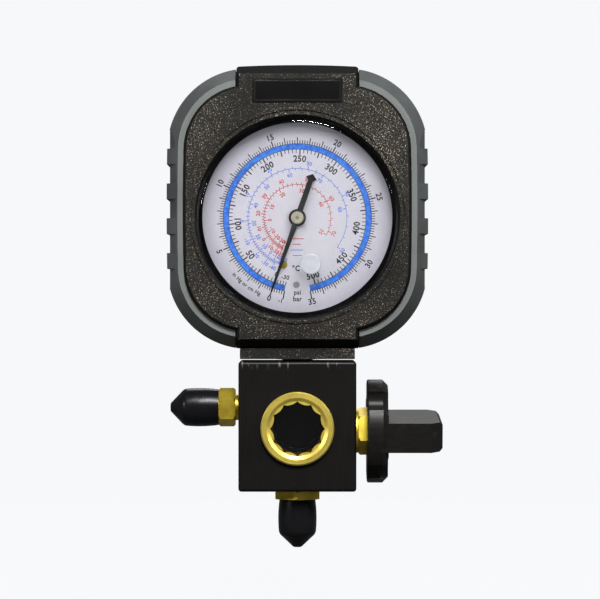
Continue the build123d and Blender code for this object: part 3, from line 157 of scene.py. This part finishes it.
# One axis of a vector: 0, 1 and 2 are x, y and z
def axis(start, vector, which):
    return start.node("ShaderNodeSeparateXYZ", {}, {0: vector}, output=which)


# How long a vector is
def length(start, vector):
    return start.node("ShaderNodeVectorMath", {"operation": "LENGTH"}, {0: vector}, output=1)


# A bump from a height in metres
def bump(start, height):
    return start.node("ShaderNodeBump", {}, {"Height": height, "Strength": 1.0, "Distance": 1.0})


# Moulded shell: grain on the flat front and back, whose pale specks are painted glints; smooth on slopes and
# sides, where a darker colour is painted shade
shellLook = {"dark": "0d0c0b", "light": "1f1d1a", "paintedGrainGlint": "8d8775", "smooth": "040404", "grain": 2300}


def shellPlastic(start):
    facing = start.node("ShaderNodeTexCoord", output=1)
    across = axis(start, facing, 1)
    flat = across.maths("ABSOLUTE", across).step(0.93, 0.99)
    grain = noise(start, shellLook["grain"], 1)
    clusters = noise(start, 45, 2, stretch=(-1, 1, 1))
    lumps = noise(start, 1500, 2)
    # Pale specks on the grain of the flat faces: painted glints
    paintedGrainGlint = (grain * 0.85 + clusters * 0.2).step(0.62, 0.77) * flat
    mottled = (lumps * 0.7 + clusters * 0.3).step(0.35, 0.68)
    ground = mottled.tint(hexColour(shellLook["dark"]), hexColour(shellLook["light"]))
    colour = paintedGrainGlint.tint(ground, hexColour(shellLook["paintedGrainGlint"]))
    height = (grain * 0.5 + lumps * 0.5) * flat * 0.00013
    return {
        # Slopes, sides and top get the darker smooth colour: painted shade on a smooth finish
        "Base Color": flat.tint(hexColour(shellLook["smooth"]), colour),
        "Roughness": 0.62 - paintedGrainGlint * 0.2,
        "Normal": bump(start, height),
        "Specular IOR Level": 0.1,
    }


# Grey rubber bumpers: fine matt grain with pale speckle, and a paler colour on faces turned to the front
# that is a painted highlight
rubberLook = {"dark": "232525", "light": "333636", "frontHighlightAndSpeckle": "535755"}


def bumperRubber(start):
    facing = start.node("ShaderNodeTexCoord", output=1)
    forward = axis(start, facing, 1)
    # Faces turned to the front are painted paler: a painted highlight, with the grain's real speckle added
    front = (0 - forward).step(0.8, 0.98)
    clouds = noise(start, 60, 4)
    grain = noise(start, 2600, 2)
    ground = clouds.step(0.3, 0.75).tint(hexColour(rubberLook["dark"]), hexColour(rubberLook["light"]))
    frontHighlightAndSpeckle = front * (0.45 + clouds * 0.5) + (grain - 0.5) * 0.45
    return {
        "Base Color": frontHighlightAndSpeckle.tint(ground, hexColour(rubberLook["frontHighlightAndSpeckle"])),
        "Roughness": 0.62 + grain * 0.2,
        "Normal": bump(start, grain * 0.00005),
    }


# Polished black badge: faint orange-peel, and a thin raised line just inside its edge whose paler colour is
# a painted highlight
badgeLook = {"dark": "040404", "light": "0b0a0a", "line": "1d1b19", "inset": 0.0009, "highlightWidth": 0.0003}


def badgeGloss(start):
    peel = noise(start, 500, 1)
    haze = noise(start, 90, 3)
    lowest, highest = np.array(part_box("badge_plate"))
    middle = tuple(((lowest + highest) / 2).tolist())
    halfWidth, _, halfHeight = ((highest - lowest) / 2).tolist()
    offset = start.node("ShaderNodeVectorMath", {"operation": "SUBTRACT"}, {0: place(start), 1: middle})
    x, z = axis(start, offset, 0), axis(start, offset, 2)
    beyond = x.maths("MAXIMUM", x.maths("ABSOLUTE", x) - halfWidth, z.maths("ABSOLUTE", z) - halfHeight)
    across = x.maths("ABSOLUTE", beyond + badgeLook["inset"])
    # The line's paler colour is a painted highlight along the badge's edge; its bump is the raised line
    line = (1 - across.step(badgeLook["highlightWidth"] / 2, badgeLook["highlightWidth"])) * (0.4 + haze * 0.6)
    ground = haze.tint(hexColour(badgeLook["dark"]), hexColour(badgeLook["light"]))
    return {
        "Base Color": line.tint(ground, hexColour(badgeLook["line"])),
        "Roughness": 0.07 + haze * 0.1,
        "Normal": bump(start, peel * 0.000006 + line * 0.00003),
        "Coat Weight": 0.5,
    }


# Pressed steel case, stove-enamelled black
caseLook = {"dark": "0b0b0d", "light": "1c1c20"}


def caseBlack(start):
    speck = noise(start, 1400, 2)
    return {
        "Base Color": speck.step(0.3, 0.8).tint(hexColour(caseLook["dark"]), hexColour(caseLook["light"])),
        "Roughness": 0.3 + speck * 0.2,
        "Normal": bump(start, speck * 0.00001),
    }


# Soft rubber of a given colour, with dust in its pores
def softRubber(dark, light, rough):
    def make(start):
        pores = noise(start, 1800, 3)
        dust = noise(start, 150, 4)
        return {
            "Base Color": dust.step(0.4, 0.8).tint(hexColour(dark), hexColour(light)),
            "Roughness": rough + pores * 0.15,
            "Normal": bump(start, pores * 0.00002),
        }
    return make


# Clear plastic: faint waves of the moulding and a few fine smears in the polish
clearLook = {"dark": "f4f5fa", "light": "ffffff"}


def clearPlastic(start):
    waves = noise(start, 35, 2)
    smears = noise(start, 220, 4, stretch=(1, 1, 0.3))
    return {
        "Base Color": smears.tint(hexColour(clearLook["dark"]), hexColour(clearLook["light"])),
        "Roughness": smears.step(0.55, 0.8) * 0.05 + 0.01,
        "Normal": bump(start, waves * 0.00002),
        "Transmission Weight": 1.0,
        "IOR": 1.45,
    }


# Dial sheet: satin lacquer on a pale ground, slightly lilac, with painted shade making it a touch darker
# towards the rim
dialLook = {"dark": "efecf3", "light": "faf8fd", "rim": "c9c4d2", "rimShadeFrom": 0.030, "rimShadeTo": 0.037}


def dialEnamel(start):
    radius = length(start, place(start, (1, 0, 1)))
    fibres = noise(start, 420, 4)
    ground = fibres.tint(hexColour(dialLook["dark"]), hexColour(dialLook["light"]))
    # Darker towards the rim: painted shade under the lens edge and case
    rimShade = radius.step(dialLook["rimShadeFrom"], dialLook["rimShadeTo"]) * 0.6
    return {
        "Base Color": rimShade.tint(ground, hexColour(dialLook["rim"])),
        "Roughness": 0.4 + fibres * 0.15,
        "Normal": bump(start, fibres * 0.000004),
    }


# Brass: warm yellow with duller blotches; fine tool marks run across an axis that scale stretches
# inside is a painted shade colour for recesses, used by turned brass
brassLook = {"bright": "d6be44", "dull": "a98e28", "stain": "5f4a12", "inside": "3a2d10"}


def brass(stretch, marks):
    def make(start):
        tool = noise(start, marks, 2, stretch=stretch)
        blotch = noise(start, 140, 4)
        ground = blotch.step(0.35, 0.7).tint(hexColour(brassLook["bright"]), hexColour(brassLook["dull"]))
        stained = noise(start, 480, 3).step(0.62, 0.78) * 0.5
        return {
            "Base Color": stained.tint(ground, hexColour(brassLook["stain"])),
            "Metallic": 0.86 - stained * 0.3,
            "Roughness": 0.26 + blotch * 0.16 + tool * 0.1,
            "Normal": bump(start, tool * 0.000018 + blotch * 0.00001),
        }
    return make


# Brass turned on a lathe about an axis through a point: rings are noise of the distance from it, and their
# pale colour is a painted highlight.
# Between two depths behind the point it is painted dark: painted shade in the recess of the ring's spanner
# socket.
ringLook = {"socketShadeFrom": 0.0011, "socketShadeTo": 0.0021, "ringsPerMetre": 5200, "pale": "f0e596"}


def turnedBrass(centre, keep):
    def make(start):
        where = start.node("ShaderNodeTexCoord", output=3)
        moved = start.node("ShaderNodeVectorMath", {"operation": "SUBTRACT"}, {0: where, 1: centre})
        flat = start.node("ShaderNodeVectorMath", {"operation": "MULTIPLY"}, {0: moved, 1: keep})
        rings = ringNoise(start, length(start, flat), ringLook["ringsPerMetre"])
        blotch = noise(start, 160, 4)
        depth = axis(start, moved, 1)
        # Painted shade deep in the spanner socket
        inside = depth.step(ringLook["socketShadeFrom"], ringLook["socketShadeTo"])
        ground = blotch.step(0.3, 0.75).tint(hexColour(brassLook["bright"]), hexColour(brassLook["dull"]))
        # Pale colour along the lathe rings: a painted highlight
        turned = (rings * 0.35).tint(ground, hexColour(ringLook["pale"]))
        return {
            "Base Color": inside.tint(turned, hexColour(brassLook["inside"])),
            "Metallic": 0.82 + rings * 0.1,
            "Roughness": 0.26 + rings * 0.14 + blotch * 0.1,
            "Normal": bump(start, rings * 0.00003 + blotch * 0.000008),
        }
    return make


# Screws, arbors and springs: steel or its plating between two tones, with fine drawn scratches
def steel(dark, light, metallic):
    def make(start):
        drawn = noise(start, 900, 2, stretch=(4, 0.3, 4))
        haze = noise(start, 200, 3)
        return {
            "Base Color": haze.tint(hexColour(dark), hexColour(light)),
            "Metallic": metallic,
            "Roughness": 0.22 + drawn * 0.22,
            "Normal": bump(start, drawn * 0.000008),
        }
    return make


# Anodised aluminium block: satin black with a milled grain up and down and pale nicks along the top
blockLook = {"dark": "060505", "light": "0e0d0c", "nick": "8b8678", "nickReach": 0.0035}


def anodisedBlock(start):
    milled = noise(start, 1500, 3, stretch=(1, 1, 0.05))
    clouds = noise(start, 45, 3)
    height = axis(start, place(start), 2)
    topEdge = float(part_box("manifold_block")[1][2])
    nearTop = height.step(topEdge - blockLook["nickReach"], topEdge)
    scratches = noise(start, 650, 3, stretch=(1, 1, 0.25)).step(0.6, 0.72) * nearTop * 0.5
    ground = (milled * 0.5 + clouds * 0.5).tint(hexColour(blockLook["dark"]), hexColour(blockLook["light"]))
    return {
        "Base Color": scratches.tint(ground, hexColour(blockLook["nick"])),
        "Roughness": 0.3 + milled * 0.12 + clouds * 0.08,
        "Specular IOR Level": 0.12,
        "Normal": bump(start, milled * 0.000012 + scratches * 0.00002),
    }


# Glass-filled nylon of the knob: black, faintly brushed, scuffed where fingers turn it
knobLook = {"dark": "0a0a0a", "light": "171614", "scuff": "34312d"}


def knobPlastic(start):
    grain = noise(start, 1300, 3, stretch=(0.2, 1, 1))
    scuffs = noise(start, 120, 5).step(0.58, 0.78) * 0.4
    ground = grain.tint(hexColour(knobLook["dark"]), hexColour(knobLook["light"]))
    return {
        "Base Color": scuffs.tint(ground, hexColour(knobLook["scuff"])),
        "Roughness": 0.3 + grain * 0.12 + scuffs * 0.15,
        "Normal": bump(start, grain * 0.00002),
        "Specular IOR Level": 0.1,
    }


# Vinyl dust caps: shiny black, dipped, with soft ripples and small runs
vinylLook = {"dark": "060607", "light": "111113"}


def capVinyl(start):
    ripples = noise(start, 110, 2)
    runs = noise(start, 420, 3)
    return {
        "Base Color": ripples.tint(hexColour(vinylLook["dark"]), hexColour(vinylLook["light"])),
        "Roughness": 0.22 + runs * 0.12,
        "Normal": bump(start, ripples * 0.0002 + runs * 0.00002),
        "Specular IOR Level": 0.12,
    }


# Milky plug of the lens
plugLook = {"dark": "93959d", "light": "b2b4bb"}


def plugPlastic(start):
    cloud = noise(start, 300, 3)
    return {
        "Base Color": cloud.tint(hexColour(plugLook["dark"]), hexColour(plugLook["light"])),
        "Roughness": 0.25 + cloud * 0.12,
        "Normal": bump(start, cloud * 0.00001),
        "Transmission Weight": 0.3,
    }


# Pointer: matt black paint on thin sheet
paintLook = {"dark": "060606", "light": "151515"}


def pointerPaint(start):
    spray = noise(start, 2400, 2)
    return {
        "Base Color": spray.tint(hexColour(paintLook["dark"]), hexColour(paintLook["light"])),
        "Roughness": 0.4 + spray * 0.2,
        "Normal": bump(start, spray * 0.000006),
    }


# Pointer cap: nickel turned about the pointer axis, with a dark centre punch
capLook = {
    "nickel": "efe9cc", "ring": "b3ad8e", "punch": "24211a",
    "punchRadius": 0.00045,
    "ringsPerMetre": 6000,
}


def capNickel(start):
    radius = length(start, place(start, (1, 0, 1)))
    rings = ringNoise(start, radius, capLook["ringsPerMetre"])
    punch = 1 - radius.step(capLook["punchRadius"] * 0.8, capLook["punchRadius"] * 1.25)
    ground = (rings * 0.6).tint(hexColour(capLook["nickel"]), hexColour(capLook["ring"]))
    return {
        "Base Color": punch.tint(ground, hexColour(capLook["punch"])),
        "Metallic": 0.7 - punch * 0.7,
        "Roughness": 0.3 + rings * 0.18,
        "Normal": bump(start, (rings * 0.15 - punch) * 0.00012),
    }


# The middle of a node's front
def frontOf(node):
    lowest, highest = np.array(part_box(node))
    middle = (lowest + highest) / 2
    return (float(middle[0]), float(lowest[1]), float(middle[2]))


finishes = {
    "housing_plastic": newMaterial("shellPlastic", shellPlastic),
    "bumper_rubber": newMaterial("bumperRubber", bumperRubber),
    "badge_gloss": newMaterial("badgeGloss", badgeGloss),
    "case_black": newMaterial("caseBlack", caseBlack),
    "seal_rubber": newMaterial("sealRubber", softRubber("0b0b0b", "1b1a19", 0.5)),
    "red_rubber": newMaterial("redRubber", softRubber("7d120d", "a82318", 0.45)),
    "lens_clear": newMaterial("lensClear", clearPlastic),
    "sight_glass_clear": newMaterial("sightGlassClear", clearPlastic),
    "dial_enamel": newMaterial("dialEnamel", dialEnamel),
    "brass": newMaterial("brass", brass((1, 1, 1), 1200)),
    "steel": newMaterial("steel", steel("8d8f92", "c4c6c9", 1.0)),
    "anodised_block": newMaterial("anodisedBlock", anodisedBlock),
    "white_plastic": newMaterial("plugPlastic", plugPlastic),
    "knob_plastic": newMaterial("knobPlastic", knobPlastic),
    "pointer_black": newMaterial("pointerPaint", pointerPaint),
    "cap_nickel": newMaterial("capNickel", capNickel),
    "cap_rubber": newMaterial("capVinyl", capVinyl),
}
ownFinishes = {
    "sight_glass_ring": newMaterial("sightRingBrass", turnedBrass(frontOf("sight_glass_ring"), (1, 0, 1))),
    "left_port_fitting": newMaterial("leftPortBrass", brass((0.25, 1, 1), 1500)),
    "bottom_port_fitting": newMaterial("bottomPortBrass", brass((1, 1, 0.25), 1500)),
    "valve_bonnet": newMaterial("bonnetBrass", brass((0.25, 1, 1), 1500)),
    "dial_screw": newMaterial("dialScrewPlating", steel("a3a3a8", "d2d2d6", 0.55)),
    "zero_screw": newMaterial("zeroScrewBrass", turnedBrass(frontOf("zero_screw"), (1, 0, 1))),
}
for part in frame["record"]["subparts"]:
    finish = ownFinishes.get(part["node"], finishes[part["material_slot"]])
    for materialSlot in nodes[part["node"]].material_slots:
        materialSlot.material = finish
print("finishes:", len(finishes) + len(ownFinishes))


# Angles on the dial run clockwise from straight down, as it is seen from the front.
dialPrint = {
    "face": 31.6,             # depth of the dial's face, in millimetres from the housing's back
    "ink": 0.03,              # how far the print stands proud
    "sunk": 0.01,             # and how far it reaches into the sheet
    "firstBar": -1, "lastBar": 35,
    "firstAngle": 10.0, "barStep": 360 / 36 - 20 / 36,
    "band": (26.2, 28.35), "edge": 0.18,
    "barTicks": (28.4, 29.7, 30.8), "barLabel": 32.4,
    "psiTicks": (26.1, 24.8, 24.1), "psiLabel": 22.75,
    "barPerPsi": 0.0689476,
    "thin": 0.3, "bold": 0.46,
    "barHeight": 2.25, "psiHeight": 2.45,
}


def barAngle(bar):
    return dialPrint["firstAngle"] + (np.asarray(bar) - dialPrint["firstBar"]) * dialPrint["barStep"]


# Points on the dial in millimetres: out from the pointer's axis, across to the clockwise side, and up
def onDial(angle, out, across, up):
    turn = np.radians(angle)
    x = -out * np.sin(turn) - across * np.cos(turn)
    z = -out * np.cos(turn) + across * np.sin(turn)
    return np.stack([x, -(dialPrint["face"] + up) + 0 * x, z], axis=-1)


# The eight corners of bars that stand on the dial, one bar for each angle, between two radii
boxFaces = np.array([[0, 1, 3, 2], [4, 6, 7, 5], [0, 4, 5, 1], [2, 3, 7, 6], [0, 2, 6, 4], [1, 5, 7, 3]])


def tickBars(angles, inner, outer, width):
    angles = np.atleast_1d(angles)[:, None]
    far, side, high = np.meshgrid([0, 1], [-0.5, 0.5], [0, 1], indexing="ij")
    out = inner + (outer - inner) * far.ravel()
    up = -dialPrint["sunk"] + (dialPrint["ink"] + dialPrint["sunk"]) * high.ravel()
    points = onDial(angles, out, width * side.ravel(), up).reshape(-1, 3)
    faces = (boxFaces + 8 * np.arange(len(angles))[:, None, None]).reshape(-1, 4)
    return points, faces.tolist()


# A flat arc between two angles: a four-cornered section carried round, closed at both ends
def arcStrip(inner, outer, start, end):
    angles = np.linspace(start, end, max(8, int(abs(end - start) / 2)))[:, None]
    out = np.array([inner, outer, outer, inner])
    up = np.array([-dialPrint["sunk"], -dialPrint["sunk"], dialPrint["ink"], dialPrint["ink"]])
    points = onDial(angles, out, 0, up).reshape(-1, 3)
    rows = 4 * np.arange(len(angles) - 1)[:, None]
    corner = np.arange(4)
    following = (corner + 1) % 4
    sides = np.stack([rows + corner, rows + following, rows + 4 + following, rows + 4 + corner], axis=-1)
    last = len(points) - 4
    return points, sides.reshape(-1, 4).tolist() + [[3, 2, 1, 0], [last, last + 1, last + 2, last + 3]]


# A word in the built-in sans letters, as points (right, up, proud) in millimetres round its middle
def letters(word, height, bolder=0.035, narrow=0.93):
    curve = bpy.data.curves.new("letters", "FONT")
    curve.body = word
    curve.size = height / 0.73
    curve.align_x = "CENTER"
    curve.space_character = 1.08
    curve.extrude = (dialPrint["ink"] + dialPrint["sunk"]) / 2
    curve.offset = height * bolder
    curve.resolution_u = 3
    holder = bpy.data.objects.new("letters", curve)
    mesh = bpy.data.meshes.new_from_object(holder)
    points = np.empty(len(mesh.vertices) * 3)
    mesh.vertices.foreach_get("co", points)
    faces = [list(face.vertices) for face in mesh.polygons]
    bpy.data.objects.remove(holder)
    bpy.data.curves.remove(curve)
    bpy.data.meshes.remove(mesh)
    points = points.reshape(-1, 3) * (narrow, 1, 1) - (0, height / 2, 0)
    return points.T, faces


# A word bent round the dial about an angle: its top faces outwards above the axis, and inwards below it
def dialWord(word, height, angle, radius):
    (right, up, proud), faces = letters(word, height)
    over = 1 if 90 < angle < 270 else -1
    middle = (dialPrint["ink"] - dialPrint["sunk"]) / 2
    bent = angle + np.degrees(over * right / radius)
    return onDial(bent, radius + over * up, 0, proud + middle), faces


# An upright word with its middle at a place on the dial
def plainWord(word, height, x, z):
    (right, up, proud), faces = letters(word, height)
    front = dialPrint["face"] + proud + (dialPrint["ink"] - dialPrint["sunk"]) / 2
    return np.stack([x + right, -front, z + up], axis=-1), faces


# A new piece from points in millimetres and faces, with its faces turned outwards
def newPiece(name, points, faces, finish, body):
    mesh = bpy.data.meshes.new(name)
    mesh.from_pydata((np.asarray(points) * mm).tolist(), [], faces)
    work = bmesh.new()
    work.from_mesh(mesh)
    bmesh.ops.remove_doubles(work, verts=work.verts, dist=1e-7)
    bmesh.ops.recalc_face_normals(work, faces=work.faces)
    work.to_mesh(mesh)
    work.free()
    piece = bpy.data.objects.new(name, mesh)
    bpy.context.scene.collection.objects.link(piece)
    mesh.materials.append(finish)
    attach(piece, body)
    return piece


# One piece of print out of several runs of points and faces
def printPiece(name, runs, finish):
    starts = np.cumsum([0] + [len(points) for points, _ in runs])
    faces = [
        [corner + start for corner in face]
        for start, (_, runFaces) in zip(starts.tolist(), runs)
        for face in runFaces
    ]
    points = np.concatenate([points for points, _ in runs])
    return newPiece(name, points, faces, finish, "manifold")


# Printing ink: its colour thins a little where it spreads
def ink(dark, light):
    def make(start):
        spread = noise(start, 700, 3)
        return {
            "Base Color": spread.step(0.3, 0.75).tint(hexColour(dark), hexColour(light)),
            "Roughness": 0.38 + spread * 0.2,
        }
    return make


bars = np.arange(dialPrint["firstBar"], dialPrint["lastBar"] + 0.1, 0.2).round(1)
wholeBars = bars[::5]
pounds = np.arange(0, 501, 5)
vacuum = np.linspace(-1, 0, 5)[:-1]
near, far, longest = dialPrint["barTicks"]
outer, inner, innermost = dialPrint["psiTicks"]
thin, bold = dialPrint["thin"], dialPrint["bold"]
poundAngles = barAngle(pounds * dialPrint["barPerPsi"])
blackPrint = [
    tickBars(barAngle(bars), near, far, thin),
    tickBars(barAngle(wholeBars), near, longest, thin * 1.2),
    tickBars(barAngle(wholeBars[1::5]), near, longest, bold),
    tickBars(barAngle([-1, 0, 35]), near, longest + 0.8, bold),
    tickBars(poundAngles, inner, outer, thin),
    tickBars(poundAngles[::5], innermost, outer, bold),
    tickBars(barAngle(vacuum), inner, outer, thin),
]
blackPrint += [
    dialWord(str(bar), dialPrint["barHeight"], float(barAngle(bar)), dialPrint["barLabel"])
    for bar in range(0, 36, 5)
]
blackPrint += [dialWord("-1", 1.7, 11.5, dialPrint["barLabel"] - 0.2)]
labelledPounds = pounds[10::10]
blackPrint += [
    dialWord(str(psi), dialPrint["psiHeight"], angle, dialPrint["psiLabel"])
    for psi, angle in zip(labelledPounds.tolist(), poundAngles[10::10].tolist())
]
blackPrint += [
    dialWord("0", 1.8, 20.5, 22.9),
    dialWord("-30", 1.7, 11.5, 23.1),
    dialWord("in Hg or cm Hg", 1.5, 37.5, 32.3),
    plainWord("\u00b0C", 2.1, -0.5, -19.2),
    plainWord("psi", 1.8, 0, -28.4),
    plainWord("bar", 1.9, 0, -30.9),
]

# Temperature scales: the pressure in bar at a temperature is 10 to the power a - b / (t + c)
temperatureScales = {
    "blue": {
        "radius": 18.9,
        "outside": {"curve": (4.554, 949.1, 260.4), "from": -40, "to": 50},
        "inside": {"curve": (4.407, 985.9, 250.2), "from": -30, "to": 80},
    },
    "red": {
        "radius": 12.8,
        "outside": {"curve": (4.29, 907.3, 252.6), "from": -30, "to": 70},
        "inside": {"curve": (4.539, 948.3, 260.8), "from": -40, "to": 50},
    },
}
scaleLook = {
    "line": 0.22, "tallLine": 1.3,
    "tick": 0.8, "tall": 1.3, "label": 2.3,
    "height": 1.5,
    "everyDegrees": 2,
}


def temperatureAngle(curve, degrees):
    a, b, c = curve
    return barAngle(10 ** (a - b / (np.asarray(degrees) + c)) - 1)


def temperaturePrint(scale):
    radius, line, height = scale["radius"], scaleLook["line"], scaleLook["height"]
    sides = scale["outside"], scale["inside"]
    start = min(float(temperatureAngle(side["curve"], side["from"])) for side in sides)
    end = max(float(temperatureAngle(side["curve"], side["to"])) for side in sides)
    runs = [arcStrip(radius - line / 2, radius + line / 2, start, end)]
    for side, way in zip(sides, (1, -1)):
        fine = np.arange(side["from"], side["to"] + 1, scaleLook["everyDegrees"])
        tens = np.arange(side["from"], side["to"] + 1, 10)
        tenAngles = temperatureAngle(side["curve"], tens)
        label = radius + way * scaleLook["label"]
        tick, tall = radius + way * scaleLook["tick"], radius + way * scaleLook["tall"]
        runs.append(tickBars(temperatureAngle(side["curve"], fine), radius, tick, line))
        runs.append(tickBars(tenAngles, radius, tall, line * scaleLook["tallLine"]))
        runs += [
            dialWord(str(ten), height, angle, label)
            for ten, angle in zip(tens.tolist(), tenAngles.tolist())
        ]
    return runs


# Short strips that key the colours of the temperature scales, where a legend would stand: x, z and width
keyStrips = {"red": ((0.3, -8.0, 4.2), (-0.2, -10.1, 3.0)), "blue": ((-0.2, -12.3, 4.6), (0.0, -14.4, 3.4))}
halfStrip = 0.14


def keyStrip(x, z, width):
    points, faces = tickBars(0, -halfStrip, halfStrip, width)
    return points + (x, 0, z), faces


inkBlack = newMaterial("inkBlack", ink("0b0b10", "1f1f28"))
inkBlue = newMaterial("inkBlue", ink("1c5ad0", "4393ea"))
inkPaleBlue = newMaterial("inkPaleBlue", ink("5b82e4", "86a4ee"))
inkRed = newMaterial("inkRed", ink("c62f2c", "d8564e"))
bandStart, bandEnd = float(barAngle(-1)), float(barAngle(35))
bandInner, bandOuter = dialPrint["band"]
edge = dialPrint["edge"]
blackPrint += [arcStrip(rim - edge / 2, rim + edge / 2, bandStart, bandEnd) for rim in dialPrint["band"]]
printPiece("dialPrintBlack", blackPrint, inkBlack)
blueBand = arcStrip(bandInner + edge / 2, bandOuter - edge / 2, bandStart, bandEnd)
printPiece("dialBandBlue", [blueBand], inkBlue)
for name, colour, finish in (("dialScaleBlue", "blue", inkPaleBlue), ("dialScaleRed", "red", inkRed)):
    strips = [keyStrip(*strip) for strip in keyStrips[colour]]
    printPiece(name, temperaturePrint(temperatureScales[colour]) + strips, finish)
print("dial printed")


# Studio floor: as pale as the backdrop to look at, but it throws little light back on the object. It lies
# deep enough for the lower dust cap to be pulled off above it.
stageLook = {
    "floor": "f7f8fa", "spill": 0.16,
    "dark": "0e0f10", "light": "101112",
    "radius": 0.6, "drop": 0.03,
}


def studioFloor(start):
    cloud = noise(start, 2, 2)
    seen = start.node("ShaderNodeLightPath")
    return {
        "Base Color": cloud.tint(hexColour(stageLook["dark"]), hexColour(stageLook["light"])),
        "Roughness": 0.9,
        "Specular IOR Level": 0.0,
        "Emission Color": seen.tint((stageLook["spill"],) * 3 + (1,), hexColour(stageLook["floor"])),
        "Emission Strength": 1.0,
    }


floorMesh = bpy.data.meshes.new("studioFloor")
level = float(cadBox[0][2]) - stageLook["drop"]
rim = np.linspace(0, 2 * np.pi, 64, endpoint=False)
floorPoints = np.stack([np.cos(rim), np.sin(rim), 0 * rim], axis=-1) * stageLook["radius"] + (0, 0, level)
floorMesh.from_pydata(floorPoints.tolist(), [], [list(range(len(rim)))])
floorMesh.materials.append(newMaterial("studioFloor", studioFloor))
studioFloorPiece = bpy.data.objects.new("studioFloor", floorMesh)
bpy.context.scene.collection.objects.link(studioFloorPiece)

# Soft boxes: where each stands, how wide it is and its power; all face the middle of the object.
softBoxes = {
    "keyAbove": {"at": (0.12, -0.85, 0.75), "size": 0.35, "watts": 33},
    "leftSide": {"at": (-0.85, -0.6, 0.25), "size": 0.18, "watts": 5},
    "rightSide": {"at": (0.85, -0.6, 0.35), "size": 0.18, "watts": 5},
    "behind": {"at": (0.1, 0.9, 0.7), "size": 0.6, "watts": 4},
}
aim = Vector((0, -0.02, -0.03))
for name, box in softBoxes.items():
    light = bpy.data.lights.new(name, "AREA")
    light.shape = "SQUARE"
    light.size = box["size"]
    light.energy = box["watts"]
    lamp = bpy.data.objects.new(name, light)
    lamp.location = box["at"]
    lamp.rotation_euler = (aim - lamp.location).to_track_quat("-Z", "Y").to_euler()
    bpy.context.scene.collection.objects.link(lamp)

# The backdrop is near-white where the camera looks past the object. As a source of light it is dim
# in front of the dial, so that black parts stay black, and brighter at the sides and behind.
worldLook = {"backdrop": "f7f8fa", "front": 0.1, "back": 0.18, "from": -0.95, "to": 0.1}
world = bpy.data.worlds.new("studio")
bpy.context.scene.world = world
world.use_nodes = True
worldStart = Wire(world.node_tree)
direction = worldStart.node("ShaderNodeTexCoord")
backward = worldStart.node("ShaderNodeSeparateXYZ", {}, {0: direction}, output=1)
ambient = backward.step(worldLook["from"], worldLook["to"]).tint(
    (worldLook["front"],) * 3 + (1,), (worldLook["back"],) * 3 + (1,)
)
seen = worldStart.node("ShaderNodeLightPath")
sky = seen.tint(ambient, hexColour(worldLook["backdrop"]))
world.node_tree.links.new(sky.socket, world.node_tree.nodes["Background"].inputs["Color"])

# Square to the dial; acrossFrame is what the frame spans at the depth of the object's front, in metres.
cameraLook = {"acrossFrame": 0.228, "x": 0.001, "z": -0.0312, "front": -0.038, "distance": 1.0, "sensor": 36}
camera = bpy.data.cameras.new("camera")
camera.sensor_width = cameraLook["sensor"]
camera.lens = cameraLook["sensor"] * cameraLook["distance"] / cameraLook["acrossFrame"]
cameraPiece = bpy.data.objects.new("camera", camera)
cameraPiece.location = (cameraLook["x"], cameraLook["front"] - cameraLook["distance"], cameraLook["z"])
cameraPiece.rotation_euler = (math.radians(90), 0, 0)
bpy.context.scene.collection.objects.link(cameraPiece)
bpy.context.scene.camera = cameraPiece
bpy.context.scene.view_settings.view_transform = "Standard"
print("stage, lights and camera ready")
